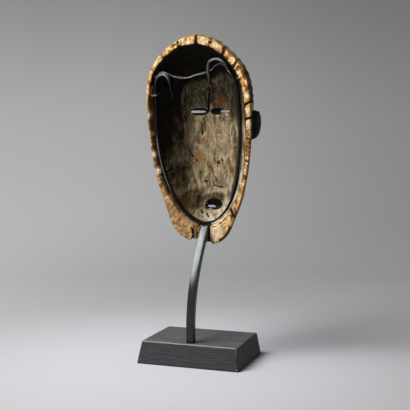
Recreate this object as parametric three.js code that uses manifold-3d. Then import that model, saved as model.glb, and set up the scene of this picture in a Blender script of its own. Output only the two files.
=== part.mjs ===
// A carved wooden dance mask, hollow behind, hung by a wire on a painted steel cradle with a wooden base.
// Millimetres, +Z up. The origin is the middle of the underside of the base, and the face looks towards -Y.

import * as THREE from "three";
import { mergeVertices } from "three/addons/utils/BufferGeometryUtils.js";
import Module from "manifold-3d";

const wasm = await Module();
wasm.setup();

// The gap kept between pieces that touch.
const GAP = 0.3;

// The base, a block whose sides slope inwards.
const BASE_WIDTH = 174;
const BASE_DEPTH = 131;
const BASE_HEIGHT = 37;
const BASE_INSET = 6.2;

// The stem, a square bar that stands near the back of the base and bends forward.
const STEM_SIZE = 12;
const STEM_BACK = 46.3;
const STEM_BEND_START = 61;
const STEM_TOP_Y = -33.5;
const STEM_TOP_Z = 225.2;

// The mask leans back by this angle. Its own frame has x across, y up along the rim and z forward.
const LEAN = THREE.MathUtils.degToRad(7.5);
const MASK_PLACE = [4.3, -21, 228.3];

// The rim's outer edge and the edge of the hollow, as two egg outlines. Each flat is a shoulder that lies in
// from the egg: its place, how far it spreads and how deep it is. Below zero it bulges out, as the lobes do.
const OUTSIDE = {
  halfWidth: 90, widest: 197, above: 108.5, below: 238.5, roundAbove: 2.3, roundBelow: 2.25,
  flats: [[-54, 279, 34, 5], [46, 285, 30, 2.5], [50, -12, 26, -7.5], [-37, -25, 22, -6]],
};
const HOLLOW = {
  halfWidth: 82.7, widest: 175, above: 115.5, below: 185, roundAbove: 2.64, roundBelow: 2.05,
  flats: [[-54, 266, 34, 2.5], [46, 272, 30, 1.5]],
};
const OUTSIDE_CENTRE = 120;
const HOLLOW_CENTRE = 150;
const OUTSIDE_DEPTH = 76;
const HOLLOW_DEPTH = 74;
const PANEL_DEPTH = 59;
// The hollow sits a little askew in the mask: it moves sideways by this much for each millimetre of height.
const HOLLOW_SKEW = 0.02;
const HOLLOW_SKEW_HEIGHT = 110;

// How the walls curve from the rim to the middle, at the sides, the crown and the chin.
const OUTSIDE_WALL = { side: [1.3, 3.4], crown: [2, 3], chin: [2.2, 3.6] };
const HOLLOW_WALL = { side: [1.3, 2.4], crown: [2, 2.8], chin: [5, 1.6] };

// The mask's features, as heights and distances from its middle line.
const EYE_HEIGHT = 177;
const LEFT_EYE = 16.8;
const RIGHT_EYE = -19.5;
const EYE_SLIT = [30, 5.6];
const EYE_BEVEL = [34, 10.5];
// The eye slits run outwards through the wood: by this much for each millimetre of depth.
const EYE_SLANT = 0.45;
const EYE_FRONT = 27;
const MOUTH_HEIGHT = 11.4;
const MOUTH_MIDDLE = 5;
const MOUTH_SLIT = [22, 4.8];
const MOUTH_POCKET = [31, 19];
const MOUTH_POCKET_PLACE = [-2, 19];
const LIPS_MIDDLE = 3;
const NOSE_TIP_HEIGHT = 98;
const EAR_TOP = 184;
const EAR_BOTTOM = 132;
const EAR_REACH = 99.5;
const EAR_ROOT = 76.5;
const EAR_START = 22;
const EAR_THICKNESS = 13;

// The cradle, a flat strip on edge.
const STRIP_THICKNESS = 3.2;
const STRIP_DEPTH = 9;
const LOOP_MIDDLE = 1.4;
const LOOP_HALF_WIDTH = 73;
const LOOP_BOTTOM = -5;
const LOOP_WIDEST = 165;
const LOOP_DEPTH = 4.8;
const LOOP_BOTTOM_DEPTH = 12;
// The loop is bent a little askew, as the hollow is.
const LOOP_SKEW = 0.03;

// The wires.
const WIRE_TWIST = 2.4;
const TIE_WIRE = 1.4;

const clamp01 = (v) => Math.min(1, Math.max(0, v));
const mix = (a, b, t) => a + (b - a) * t;

function smooth(low, high, v) {
  const t = clamp01((v - low) / (high - low));
  return t * t * (3 - 2 * t);
}

// A soft round hump, 1 in its middle.
function hump(dx, dy, power = 1) {
  return Math.exp(-((dx * dx + dy * dy) ** power));
}

// An egg outline: an ellipse above and below its widest line, with its own roundness in each half.
class Egg extends THREE.Curve {
  constructor(size) {
    super();
    this.size = size;
  }

  getPoint(t, target = new THREE.Vector2()) {
    const { halfWidth, widest, above, below, roundAbove, roundBelow, flats } = this.size;
    const across = Math.cos(2 * Math.PI * t);
    const up = Math.sin(2 * Math.PI * t);
    const reach = up > 0 ? above : -below;
    const roundness = up > 0 ? roundAbove : roundBelow;
    target.set(halfWidth * across, widest + reach * Math.abs(up) ** (2 / roundness));
    const outward = new THREE.Vector2(target.x, target.y - HOLLOW_CENTRE).normalize();
    let depth = 0;
    for (const [x, y, spread, deep] of flats) depth += deep * hump((target.x - x) / spread, (target.y - y) / spread);
    return target.addScaledVector(outward, -depth);
  }
}

// A wall from the rim (t = 0) to the deepest point in the middle (t = 1), as distance out and depth.
class Wall extends THREE.Curve {
  constructor(reach, depth, [taper, fullness]) {
    super();
    Object.assign(this, { reach, depth, taper, fullness });
  }

  getPoint(t, target = new THREE.Vector2()) {
    const angle = (Math.PI / 2) * t;
    const out = Math.max(0, Math.cos(angle)) ** (2 / this.fullness);
    const deep = Math.sin(angle) ** (2 / this.taper);
    return target.set(this.reach * out, this.depth * deep);
  }
}

// The wall shape for a direction: up is 1 towards the crown and -1 towards the chin.
function wallShape(wall, up) {
  const end = up > 0 ? wall.crown : wall.chin;
  return wall.side.map((value, i) => mix(value, end[i], up * up));
}

// Rings of points from the rim to the middle, all in the mask's own frame.
function bowlRings(size, centre, depth, wall, spokes, rings) {
  const rows = Array.from({ length: rings + 1 }, () => []);
  for (const edge of new Egg(size).getSpacedPoints(spokes).slice(0, spokes)) {
    const reach = Math.hypot(edge.x, edge.y - centre);
    const up = (edge.y - centre) / reach;
    const steps = new Wall(reach, depth, wallShape(wall, up)).getSpacedPoints(rings);
    steps.forEach((step, i) => {
      const out = step.x / reach;
      rows[i].push(new THREE.Vector3(edge.x * out, centre + (edge.y - centre) * out, step.y));
    });
  }
  return rows;
}

// How far the carving of the face stands out from the plain outside, at a place on it.
function faceRelief(x, y) {
  const side = Math.abs(x);
  const hairline = 258 - 0.0095 * side * side;
  const browLine = 203 - 0.007 * (side - 16) ** 2;
  const noseWidth = mix(7, 15, smooth(172, NOSE_TIP_HEIGHT, y));
  const noseHeight = mix(6, 21, smooth(196, NOSE_TIP_HEIGHT + 2, y)) * smooth(80, 92, y) * smooth(212, 190, y);
  const hair = 3.5 * smooth(-1.5, 1.5, y - hairline);
  const forehead = 4 * hump(x / 48, (y - 232) / 26);
  const brow = 5 * Math.exp(-(((y - browLine) / 7) ** 2)) * smooth(68, 48, side);
  const socket = -6 * hump((side - EYE_FRONT - 1) / 24, (y - EYE_HEIGHT + 2) / 17);
  const lids = 5 * hump((side - EYE_FRONT) / 19, (y - EYE_HEIGHT) / 8.5, 2);
  const nose = noseHeight * hump(x / noseWidth, 0, 1.3);
  const nostrils = 5 * hump((side - 12) / 7, (y - 96) / 8);
  const cheeks = 4 * hump((side - 46) / 22, (y - 118) / 34);
  const lips = 8 * hump((x - LIPS_MIDDLE) / 24, (y - MOUTH_HEIGHT) / 12, 2);
  const chin = 5 * hump(x / 28, (y + 14) / 12);
  return hair + forehead + brow + socket + lids + nose + nostrils + cheeks + lips + chin;
}

// Moves the outside's points out along its surface by the carving, leaving the rim itself as it is.
function carveFace(rings) {
  const spokes = rings[0].length;
  return rings.map((row, i) => row.map((point, j) => {
    if (i === 0) return point;
    if (i === rings.length - 1) return point.clone().setZ(point.z + faceRelief(point.x, point.y));
    const around = rings[i][(j + 1) % spokes].clone().sub(rings[i][(j + spokes - 1) % spokes]);
    const inward = rings[i + 1][j].clone().sub(rings[i - 1][j]);
    const outward = around.cross(inward).normalize();
    const strength = faceRelief(point.x, point.y) * smooth(2, 12, point.z);
    return point.clone().addScaledVector(outward, strength);
  }));
}

// The inside of the hollow, flat where it meets the panel behind the face.
function shapeHollow(rings) {
  return rings.map((row) => row.map((point) => new THREE.Vector3(
    point.x + HOLLOW_SKEW * (point.y - HOLLOW_SKEW_HEIGHT),
    point.y,
    Math.min(point.z, PANEL_DEPTH + 0.02 * Math.max(0, point.z - PANEL_DEPTH)),
  )));
}

// A closed body from quads and triangles given as lists of corners.
function bodyFromFaces(faces) {
  const positions = [];
  for (const [a, b, c, d] of faces) {
    for (const corner of d ? [a, b, c, a, c, d] : [a, b, c]) positions.push(corner.x, corner.y, corner.z);
  }
  const geometry = new THREE.BufferGeometry();
  geometry.setAttribute("position", new THREE.Float32BufferAttribute(positions, 3));
  return geometry;
}

function shellGeometry(outside, inside) {
  const faces = [];
  const spokes = outside[0].length;
  const last = outside.length - 1;
  const insideLast = inside.length - 1;
  for (let j = 0; j < spokes; j += 1) {
    const k = (j + 1) % spokes;
    for (let i = 0; i < last - 1; i += 1) {
      faces.push([outside[i][j], outside[i][k], outside[i + 1][k], outside[i + 1][j]]);
    }
    faces.push([outside[last - 1][j], outside[last - 1][k], outside[last][0]]);
    faces.push([outside[0][k], outside[0][j], inside[0][j], inside[0][k]]);
    for (let i = 0; i < insideLast - 1; i += 1) {
      faces.push([inside[i][k], inside[i][j], inside[i + 1][j], inside[i + 1][k]]);
    }
    faces.push([inside[insideLast - 1][k], inside[insideLast - 1][j], inside[insideLast][0]]);
  }
  return bodyFromFaces(faces);
}

function toSolid(geometry) {
  const bare = geometry.clone();
  bare.deleteAttribute("normal");
  bare.deleteAttribute("uv");
  const merged = mergeVertices(bare, 1e-4);
  const mesh = new wasm.Mesh({
    numProp: 3,
    vertProperties: Float32Array.from(merged.attributes.position.array),
    triVerts: Uint32Array.from(merged.index.array),
  });
  return new wasm.Manifold(mesh);
}

function toGeometry(solid) {
  const mesh = solid.getMesh();
  const geometry = new THREE.BufferGeometry();
  geometry.setAttribute("position", new THREE.BufferAttribute(mesh.vertProperties, 3));
  geometry.setIndex(new THREE.BufferAttribute(mesh.triVerts, 1));
  return geometry.toNonIndexed();
}

// An upright oval hole through the face, from one depth to another.
function ovalCutter(x, y, [width, height], from, to) {
  const cutter = new THREE.CylinderGeometry(0.5, 0.5, to - from, 20);
  return cutter.rotateX(Math.PI / 2).scale(width, height, 1).translate(x, y, (from + to) / 2);
}

// An upright oval slit that moves sideways as it goes through the face.
function slantedCutter(x, y, size, slant, from, to) {
  const shear = new THREE.Matrix4().set(1, 0, slant, -slant * from, 0, 1, 0, 0, 0, 0, 1, 0, 0, 0, 0, 1);
  return ovalCutter(x, y, size, from, to).applyMatrix4(shear);
}

// The slots that are sawn or split across the rim: where they are on it, how wide and how deep.
const RIM_SLOTS = [
  { x: 28, y: 292, width: 3, depth: 6 },
  { x: -3, y: 299, width: 4.4, depth: 9 },
  { x: -26, y: 294, width: 3, depth: 7 },
  { x: -49, y: 280, width: 5, depth: 8 },
  { x: -68, y: 259, width: 3, depth: 6 },
  { x: -85, y: 195, width: 3.2, depth: 7 },
  { x: -86, y: 171, width: 3, depth: 7 },
  { x: -55, y: 12, width: 4, depth: 7 },
];
const SLOT_LENGTH = 30;

// The bites that are broken out of the rim: where they are, how big and how deep.
const RIM_BITES = [
  { x: 92, y: 179, radius: 8, depth: 6 },
  { x: 92, y: 120, radius: 9.5, depth: 8 },
  { x: 87, y: 99, radius: 7, depth: 6 },
  { x: -55, y: 4, radius: 5.5, depth: 5 },
];

function slotCutter({ x, y, width, depth }) {
  const turn = Math.atan2(y - HOLLOW_CENTRE, x);
  return new THREE.BoxGeometry(SLOT_LENGTH, width, 2 * depth).rotateZ(turn).translate(x, y, 0);
}

function biteCutter({ x, y, radius, depth }) {
  return new THREE.SphereGeometry(1, 10, 8).scale(radius, radius, depth).translate(x, y, 0);
}

// The notch through the chin's rim that lets the stem in, seen from the side.
const NOTCH_RIGHT = -12.8;
const NOTCH_LEFT = 3.6;
const NOTCH_PROFILE = [[5, -10], [5, 22], [-12, 22], [-52, 15], [-52, -10]];

function notchCutter() {
  const profile = new THREE.Shape(NOTCH_PROFILE.map(([y, z]) => new THREE.Vector2(-z, y)));
  const cutter = new THREE.ExtrudeGeometry(profile, { depth: NOTCH_LEFT - NOTCH_RIGHT, bevelEnabled: false });
  return cutter.rotateY(Math.PI / 2).translate(NOTCH_RIGHT, 0, 0);
}

// The two lobes beside the notch are worn round at their corners.
const LOBE_CORNERS = [
  [[2, -30.5], [6, -31], [14, -31.6], [22, -33], [30, -36.5], [35, -50], [2, -50]],
  [[-12, -30], [-13.5, -36], [-17, -39.4], [-22, -41], [-27, -50], [-12, -50]],
];
const LOBE_DEPTH = 40;

function lobeCutter(corners) {
  const outline = new THREE.Shape(corners.map(([x, y]) => new THREE.Vector2(x, y)));
  return new THREE.ExtrudeGeometry(outline, { depth: LOBE_DEPTH, bevelEnabled: false }).translate(0, 0, -5);
}

// The holes through the sides that hold the hanging wire: height and depth.
const LEFT_HOLE = [241, 8];
const RIGHT_HOLE = [234, 8.5];
const WIRE_HOLE_DIAMETER = 4;

function wireHoleCutter([y, z], side) {
  const cutter = new THREE.CylinderGeometry(WIRE_HOLE_DIAMETER / 2, WIRE_HOLE_DIAMETER / 2, 40, 10);
  return cutter.rotateZ(Math.PI / 2).translate(side * 82, y, z);
}

// A flat ear with a square upper corner, for the side with this sign.
function earGeometry(side) {
  const outline = new THREE.Shape();
  outline.moveTo(side * EAR_ROOT, EAR_BOTTOM);
  outline.lineTo(side * (EAR_ROOT + 12), EAR_BOTTOM + 3);
  outline.bezierCurveTo(side * (EAR_REACH + 2.5), EAR_BOTTOM + 12, side * (EAR_REACH + 0.5), EAR_TOP - 10,
    side * (EAR_REACH - 5), EAR_TOP - 4);
  outline.lineTo(side * EAR_ROOT, EAR_TOP);
  const bevel = { bevelThickness: 1.5, bevelSize: 1.5, bevelOffset: -1.5, bevelSegments: 1 };
  const flat = { depth: EAR_THICKNESS - 3, curveSegments: 10, bevelEnabled: true, ...bevel };
  return new THREE.ExtrudeGeometry(outline, flat).translate(0, 0, EAR_START + 1.5);
}

function maskGeometry() {
  const spokes = 84;
  const outside = bowlRings(OUTSIDE, OUTSIDE_CENTRE, OUTSIDE_DEPTH, OUTSIDE_WALL, spokes, 22);
  const inside = bowlRings(HOLLOW, HOLLOW_CENTRE, HOLLOW_DEPTH, HOLLOW_WALL, spokes, 12);
  let solid = toSolid(shellGeometry(carveFace(outside), shapeHollow(inside)));
  for (const side of [1, -1]) solid = solid.add(toSolid(earGeometry(side)));
  const bevelEnd = PANEL_DEPTH + 3;
  const cutters = [
    ovalCutter(LEFT_EYE, EYE_HEIGHT, EYE_BEVEL, 50, bevelEnd),
    ovalCutter(RIGHT_EYE, EYE_HEIGHT, EYE_BEVEL, 50, bevelEnd),
    slantedCutter(LEFT_EYE, EYE_HEIGHT, EYE_SLIT, EYE_SLANT, 56, 110),
    slantedCutter(RIGHT_EYE, EYE_HEIGHT, EYE_SLIT, -EYE_SLANT, 56, 110),
    ovalCutter(...MOUTH_POCKET_PLACE, MOUTH_POCKET, 46, bevelEnd + 4),
    ovalCutter(MOUTH_MIDDLE, MOUTH_HEIGHT, MOUTH_SLIT, 44, 110),
    notchCutter(),
    ...LOBE_CORNERS.map(lobeCutter),
    wireHoleCutter(LEFT_HOLE, 1),
    wireHoleCutter(RIGHT_HOLE, -1),
    ...RIM_SLOTS.map(slotCutter),
    ...RIM_BITES.map(biteCutter),
  ];
  for (const cutter of cutters) solid = solid.subtract(toSolid(cutter));
  return toGeometry(solid);
}

// How deep inside the rim the middle of the cradle's strip lies, at a height on the mask.
function loopDepth(y) {
  const low = clamp01((150 - y) / (150 - LOOP_BOTTOM));
  return mix(LOOP_DEPTH, LOOP_BOTTOM_DEPTH, low ** 1.5);
}

// The half of the loop on one side, from its bottom up to a height.
function loopSide(side, top, steps) {
  const points = [];
  for (let i = 1; i <= steps; i += 1) {
    const angle = (Math.PI / 2) * (i / steps);
    const below = Math.cos(angle) ** (2 / 2.2);
    const y = mix(LOOP_WIDEST, LOOP_BOTTOM, below);
    const middle = LOOP_MIDDLE + LOOP_SKEW * Math.min(0, y - 110);
    points.push([middle + side * LOOP_HALF_WIDTH * Math.sin(angle), y]);
  }
  points.push([LOOP_MIDDLE + side * (LOOP_HALF_WIDTH - 1.5), top]);
  return points;
}

// The strip's whole route: the left hook, round the loop, and the right hook.
function cradlePath() {
  const leftHook = [[42.4, 206], [45.6, 224], [49.2, 236.8], [56, 244.2], [65, 243], [71, 234.5]];
  const rightHook = [[-66.2, 231], [-54.6, 251.8], [-47, 261], [-35.5, 266.8], [-23.6, 263], [-20.2, 253],
    [-21.6, 237], [-23.7, 226]];
  const places = [
    ...leftHook,
    ...loopSide(1, 206, 9).reverse(),
    [LOOP_MIDDLE + LOOP_SKEW * (LOOP_BOTTOM - 110), LOOP_BOTTOM],
    ...loopSide(-1, 200, 9),
    ...rightHook,
  ];
  const points = places.map(([x, y]) => new THREE.Vector3(x, y, loopDepth(y)));
  return new THREE.CatmullRomCurve3(points, false, "centripetal");
}

function cradleGeometry() {
  const section = new THREE.Shape();
  section.moveTo(-STRIP_DEPTH / 2, -STRIP_THICKNESS / 2);
  section.lineTo(STRIP_DEPTH / 2, -STRIP_THICKNESS / 2);
  section.lineTo(STRIP_DEPTH / 2, STRIP_THICKNESS / 2);
  section.lineTo(-STRIP_DEPTH / 2, STRIP_THICKNESS / 2);
  return new THREE.ExtrudeGeometry(section, { steps: 110, bevelEnabled: false, extrudePath: cradlePath() });
}

function roundSection(diameter, sides = 8) {
  const corners = Array.from({ length: sides }, (_, i) => {
    const angle = (2 * Math.PI * (i + 0.5)) / sides;
    return new THREE.Vector2(Math.cos(angle), Math.sin(angle)).multiplyScalar(diameter / 2);
  });
  return new THREE.Shape(corners);
}

// The hanging wire's route: from its hole on the left, over the left hook, across, and to the right hole.
const WIRE_ROUTE = [
  [80.5, 241, 8],
  [74.8, 241, 8],
  [69.8, 243, 7.3],
  [63.8, 247.2, 5.6],
  [57, 247.8, 5.1],
  [50, 244.9, 6.2],
  [42, 240.6, 9],
  [33, 238.6, 10.8],
  [24, 237.6, 11.8],
  [14.5, 238.6, 12],
  [6, 241.2, 12],
  [-5, 243.6, 12],
  [-14.5, 245.8, 12],
  [-21.5, 248.6, 12.4],
  [-29, 255.4, 13],
  [-36.4, 258.8, 13],
  [-43.4, 256.6, 13],
  [-49.4, 250.2, 13],
  [-55.4, 242.4, 12.8],
  [-61.4, 237, 12.2],
  [-66.6, 234.5, 11],
  [-69.9, 234, 8.5],
  [-76.4, 234, 8.5],
];

function wireGeometry() {
  const route = new THREE.CatmullRomCurve3(WIRE_ROUTE.map((point) => new THREE.Vector3(...point)));
  return new THREE.ExtrudeGeometry(roundSection(WIRE_TWIST), { steps: 48, bevelEnabled: false, extrudePath: route });
}

// The short wire loops round the strip on the left and goes back to the wall of the mask.
const TIE_ROUTE = [
  [79.2, 213, 8.6],
  [74.6, 212.8, 11.4],
  [70.2, 212.2, 9.8],
  [69, 211.4, 4.8],
  [70.2, 210.6, -0.2],
  [73.6, 210, -1.8],
  [79.4, 209.8, 0.4],
];

function tieGeometry() {
  const route = new THREE.CatmullRomCurve3(TIE_ROUTE.map((point) => new THREE.Vector3(...point)));
  return new THREE.ExtrudeGeometry(roundSection(TIE_WIRE), { steps: 20, bevelEnabled: false, extrudePath: route });
}

function baseGeometry() {
  const block = new THREE.BoxGeometry(BASE_WIDTH, BASE_DEPTH, BASE_HEIGHT).translate(0, 0, BASE_HEIGHT / 2);
  const corners = block.attributes.position;
  for (let i = 0; i < corners.count; i += 1) {
    if (corners.getZ(i) < BASE_HEIGHT / 2) continue;
    corners.setX(i, Math.sign(corners.getX(i)) * (BASE_WIDTH / 2 - BASE_INSET));
    corners.setY(i, Math.sign(corners.getY(i)) * (BASE_DEPTH / 2 - BASE_INSET));
  }
  return block;
}

// The stem rises straight and then follows a parabola, and its end is cut to lie under the strip.
function stemGeometry() {
  const foot = new THREE.Vector3(0, STEM_BACK, BASE_HEIGHT + GAP);
  const bendStart = new THREE.Vector3(0, STEM_BACK, STEM_BEND_START);
  const bendTurn = new THREE.Vector3(0, STEM_BACK, (STEM_BEND_START + STEM_TOP_Z) / 2);
  const top = new THREE.Vector3(0, STEM_TOP_Y, STEM_TOP_Z);
  const bend = new THREE.QuadraticBezierCurve3(bendStart, bendTurn, top);
  const path = new THREE.CurvePath();
  path.add(new THREE.LineCurve3(foot, bendStart));
  path.add(bend);
  path.add(new THREE.LineCurve3(top, top.clone().add(top.clone().sub(bendTurn).setLength(STEM_SIZE))));
  const half = STEM_SIZE / 2;
  const corners = [[-half, -half], [half, -half], [half, half], [-half, half]];
  const section = new THREE.Shape(corners.map(([x, y]) => new THREE.Vector2(x, y)));
  const bar = new THREE.ExtrudeGeometry(section, { steps: 36, bevelEnabled: false, extrudePath: path });
  const above = new THREE.BoxGeometry(4 * STEM_SIZE, 6 * STEM_SIZE, 4 * STEM_SIZE);
  const underStrip = LOOP_BOTTOM - STRIP_THICKNESS / 2 - 2 * GAP;
  above.rotateX(Math.PI / 2).translate(0, underStrip + 2 * STEM_SIZE, LOOP_BOTTOM_DEPTH);
  above.applyMatrix4(maskPlace());
  return toGeometry(toSolid(bar).subtract(toSolid(above)));
}

// The mask's own frame in the world.
function maskPlace() {
  const turn = new THREE.Matrix4().makeRotationX(Math.PI / 2 - LEAN);
  return turn.setPosition(...MASK_PLACE);
}

function named(name, geometry, material) {
  const mesh = new THREE.Mesh(geometry, material);
  mesh.name = name;
  return mesh;
}

const blackWood = new THREE.MeshStandardMaterial({ color: 0x24272a, roughness: 0.6, metalness: 0 });
const blackSteel = new THREE.MeshStandardMaterial({ color: 0x121314, roughness: 0.35, metalness: 0.3 });
const carvedWood = new THREE.MeshStandardMaterial({ color: 0x8a6238, roughness: 0.8, metalness: 0 });
const greyWire = new THREE.MeshStandardMaterial({ color: 0x9a9790, roughness: 0.4, metalness: 0.9 });

const hung = new THREE.Group();
hung.position.set(...MASK_PLACE);
hung.rotation.x = Math.PI / 2 - LEAN;
hung.add(named("mask", maskGeometry(), carvedWood));
hung.add(named("cradle", cradleGeometry(), blackSteel));
hung.add(named("hanging_wire", wireGeometry(), greyWire));
hung.add(named("side_tie", tieGeometry(), greyWire));

const group = new THREE.Group();
group.add(named("base", baseGeometry(), blackWood));
group.add(named("stem", stemGeometry(), blackSteel));
group.add(hung);

export default group;
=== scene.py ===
# A carved wooden dance mask, hollow behind, hung by a wire on a painted steel cradle with a wooden base.
# Metres, +Z up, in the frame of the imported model. The mask's own sizes are in millimetres, in the mask's frame.

import math
from types import SimpleNamespace

import bmesh
import bpy
import numpy as np
from mathutils import Matrix, Vector


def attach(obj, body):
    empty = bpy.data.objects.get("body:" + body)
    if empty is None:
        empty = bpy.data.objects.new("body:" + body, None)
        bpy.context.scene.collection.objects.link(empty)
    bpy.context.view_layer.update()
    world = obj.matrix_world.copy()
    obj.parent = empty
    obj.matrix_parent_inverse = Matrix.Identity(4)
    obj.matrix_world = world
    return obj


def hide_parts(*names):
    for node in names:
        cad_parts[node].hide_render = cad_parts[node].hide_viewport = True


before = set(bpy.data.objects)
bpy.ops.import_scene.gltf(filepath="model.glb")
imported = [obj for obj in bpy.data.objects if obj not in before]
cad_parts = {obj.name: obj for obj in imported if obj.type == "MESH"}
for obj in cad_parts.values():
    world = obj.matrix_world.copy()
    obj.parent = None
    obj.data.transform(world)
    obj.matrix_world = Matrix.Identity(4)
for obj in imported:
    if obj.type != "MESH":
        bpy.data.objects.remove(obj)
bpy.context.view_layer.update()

MM = 0.001
GOLDEN_TURN = 2.39996

# The mask leans back. Its own frame has x across, y up along the rim and z forward, to the face.
LEAN = math.radians(7.5)
MASK_PLACE = Vector((4.3, -21, 228.3)) * MM
MASK_FRAME = Matrix.Translation(MASK_PLACE) @ Matrix.Rotation(math.pi / 2 - LEAN, 4, "X")

# The rim's outer edge and the edge of the hollow, as two egg outlines. Each flat is a shoulder that lies in from
# the egg: its place, how far it spreads and how deep it is. Below zero it bulges out, as the lobes do.
OUTSIDE = {"half_width": 90, "widest": 197, "above": 108.5, "below": 238.5, "round_above": 2.3, "round_below": 2.25,
           "flats": ((-54, 279, 34, 5), (46, 285, 30, 2.5), (50, -12, 26, -7.5), (-37, -25, 22, -6),
                     (-90, 130, 50, -1.2))}
HOLLOW = {"half_width": 82.7, "widest": 175, "above": 115.5, "below": 185, "round_above": 2.64, "round_below": 2.05,
          "flats": ((-54, 266, 34, 2.5), (46, 272, 30, 1.5), (-82, 205, 34, 1.8), (-80, 130, 40, 1))}
OUTSIDE_CENTRE = 120
HOLLOW_CENTRE = 150
OUTSIDE_DEPTH = 76
HOLLOW_DEPTH = 74
PANEL_DEPTH = 59
HOLLOW_SKEW = 0.02
HOLLOW_SKEW_HEIGHT = 110

# How the walls curve from the rim to the middle: the taper and fullness at the sides, the crown and the chin.
OUTSIDE_WALL = {"side": (1.3, 3.4), "crown": (2, 3), "chin": (2.2, 3.6)}
HOLLOW_WALL = {"side": (1.3, 2.4), "crown": (2, 2.8), "chin": (5, 1.6)}

# The hollow's edge is worn to a slope, wide at the sides and narrow at the crown and chin, and the outer edge is
# a little rounded.
EDGE_SLOPE_SIDE = 1.0
EDGE_SLOPE_END = 1.8
EDGE_SLOPE_DEPTH = 4.2
OUTER_WEAR = 0.8

EYE_HEIGHT = 177
# The middles of the eyes' bevels, and the middle, width and height of each slit.
EYES = (16.8, -19.5)
EYE_SLITS = ((16.8, 30, 4.3), (-21.2, 26.6, 3.6))
EYE_BEVEL = (34, 10.5)
# The eye slits run outwards through the wood: by this much for each millimetre of depth.
EYE_SLANT = 0.45
EYE_FRONT = 27
MOUTH_HEIGHT = 11.4
MOUTH_MIDDLE = 5.9
MOUTH_SLIT = (16, 4.8)
MOUTH_POCKET = (30, 17)
MOUTH_POCKET_PLACE = (-2, 18)
LIPS_MIDDLE = 3
NOSE_TIP_HEIGHT = 98
EAR_TOP = 184
EAR_BOTTOM = 132
EAR_REACH = 99.5
EAR_ROOT = 76.5
EAR_START = 22
EAR_THICKNESS = 13

# The grid that the mask's fine mesh is made on.
MASK_GRID = 1.36
# How much of that mesh is kept. What goes is taken from the plain outside.
MASK_KEPT = 0.75

# The cradle, a flat strip on edge, in the mask's frame.
STRIP_THICKNESS = 3.2
STRIP_DEPTH = 9
LOOP_MIDDLE = 1.4
LOOP_HALF_WIDTH = 73
LOOP_BOTTOM = -5
LOOP_WIDEST = 165
LOOP_DEPTH = 4.8
LOOP_BOTTOM_DEPTH = 12
LOOP_SKEW = 0.03
LEFT_HOOK = ((42.4, 206), (45.6, 224), (49.2, 236.8), (56, 244.2), (65, 243), (71, 234.5))
RIGHT_HOOK = ((-66.2, 231), (-54.6, 251.8), (-47, 261), (-35.5, 266.8), (-23.6, 263), (-20.2, 253),
              (-21.6, 237), (-23.7, 226))

# The stand.
BASE_WIDTH = 174
BASE_DEPTH = 131
BASE_HEIGHT = 37
BASE_INSET = 6.2
STEM_SIZE = 12
STEM_BACK = 46.3
STEM_BEND_START = 61
STEM_TOP_Y = -33.5
STEM_TOP_Z = 225.2
STEM_GAP = 0.1


def mix(a, b, t):
    return a + (b - a) * t


def smooth(low, high, value):
    """0 below low, 1 above high, and a smooth rise between them. low may be the larger."""
    t = np.clip((value - low) / (high - low), 0, 1)
    return t * t * (3 - 2 * t)


def hump(across, up, power=1.0):
    """A soft round hump, 1 in its middle."""
    return np.exp(-((across * across + up * up) ** power))


def lumps(points, size, seed):
    """Smooth random values from -1 to 1 over points, in lumps of this size."""
    place = points / np.asarray(size, float)
    corner = np.floor(place).astype(np.int64)
    part = place - corner
    part = part * part * (3 - 2 * part)
    total = np.zeros(len(points))
    for step in np.ndindex(2, 2, 2):
        key = (corner + step) @ np.array([73856093, 19349663, 83492791]) + seed * 15485863
        key = (key ^ (key >> 13)) * 1274126177 & 0xFFFFFFFF
        key = (key ^ (key >> 15)) * 2246822519 & 0xFFFFFFFF
        value = (key & 0xFFFF) / 32767.5 - 1
        total += value * np.prod(np.where(step, part, 1 - part), axis=1)
    return total


def rough(points, size, seed, layers=3):
    """Lumps with finer lumps on them."""
    total = np.zeros(len(points))
    for layer in range(layers):
        total += lumps(points, np.asarray(size, float) / 2.1**layer, seed + layer) * 0.55**layer
    return total


def unit(vectors, least=1e-9):
    """Vectors made one long, or shorter where they are below the least length."""
    return vectors / np.maximum(least, np.linalg.norm(vectors, axis=-1, keepdims=True))


def run_along(line):
    """How far along a line of points each of them is."""
    return np.concatenate([[0], np.cumsum(np.linalg.norm(np.diff(line, axis=0), axis=1))])


def spots(x, y, rows):
    """The strongest of some soft round spots, each with its strength, place and spread."""
    return np.maximum.reduce([much * hump((x - sx) / wide, (y - sy) / tall) for much, sx, sy, wide, tall in rows])


def new_object(name, points, faces):
    mesh = bpy.data.meshes.new(name)
    mesh.from_pydata([tuple(p) for p in points], [], [tuple(f) for f in faces])
    made = bpy.data.objects.new(name, mesh)
    bpy.context.scene.collection.objects.link(made)
    return made


def new_piece(name, points, faces, finish):
    """A mesh piece in metres that rides on the object."""
    piece = new_object(name, points, faces)
    piece.data.validate()
    piece.data.shade_smooth()
    piece.data.materials.append(finish)
    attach(piece, "root")
    return piece


def write_marks(mesh, marks):
    """Values from 0 to 1 that a mesh carries at its points, for its finish to read."""
    for name, values in marks.items():
        layer = mesh.attributes.new(name, "FLOAT", "POINT")
        layer.data.foreach_set("value", np.clip(values, 0, 1).astype(np.float32))


def swept(path, section, widthways):
    """Points and faces of a closed bar: a section carried along a path, with its x along widthways."""
    path = np.asarray(path, float)
    section = np.asarray(section, float)
    along = unit(np.gradient(path, axis=0))
    wide = np.broadcast_to(np.asarray(widthways, float), path.shape)
    wide = unit(wide - along * np.sum(wide * along, axis=1, keepdims=True))
    thick = np.cross(along, wide)
    rings = path[:, None] + section[None, :, :1] * wide[:, None] + section[None, :, 1:] * thick[:, None]
    return ring_body(rings)


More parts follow.
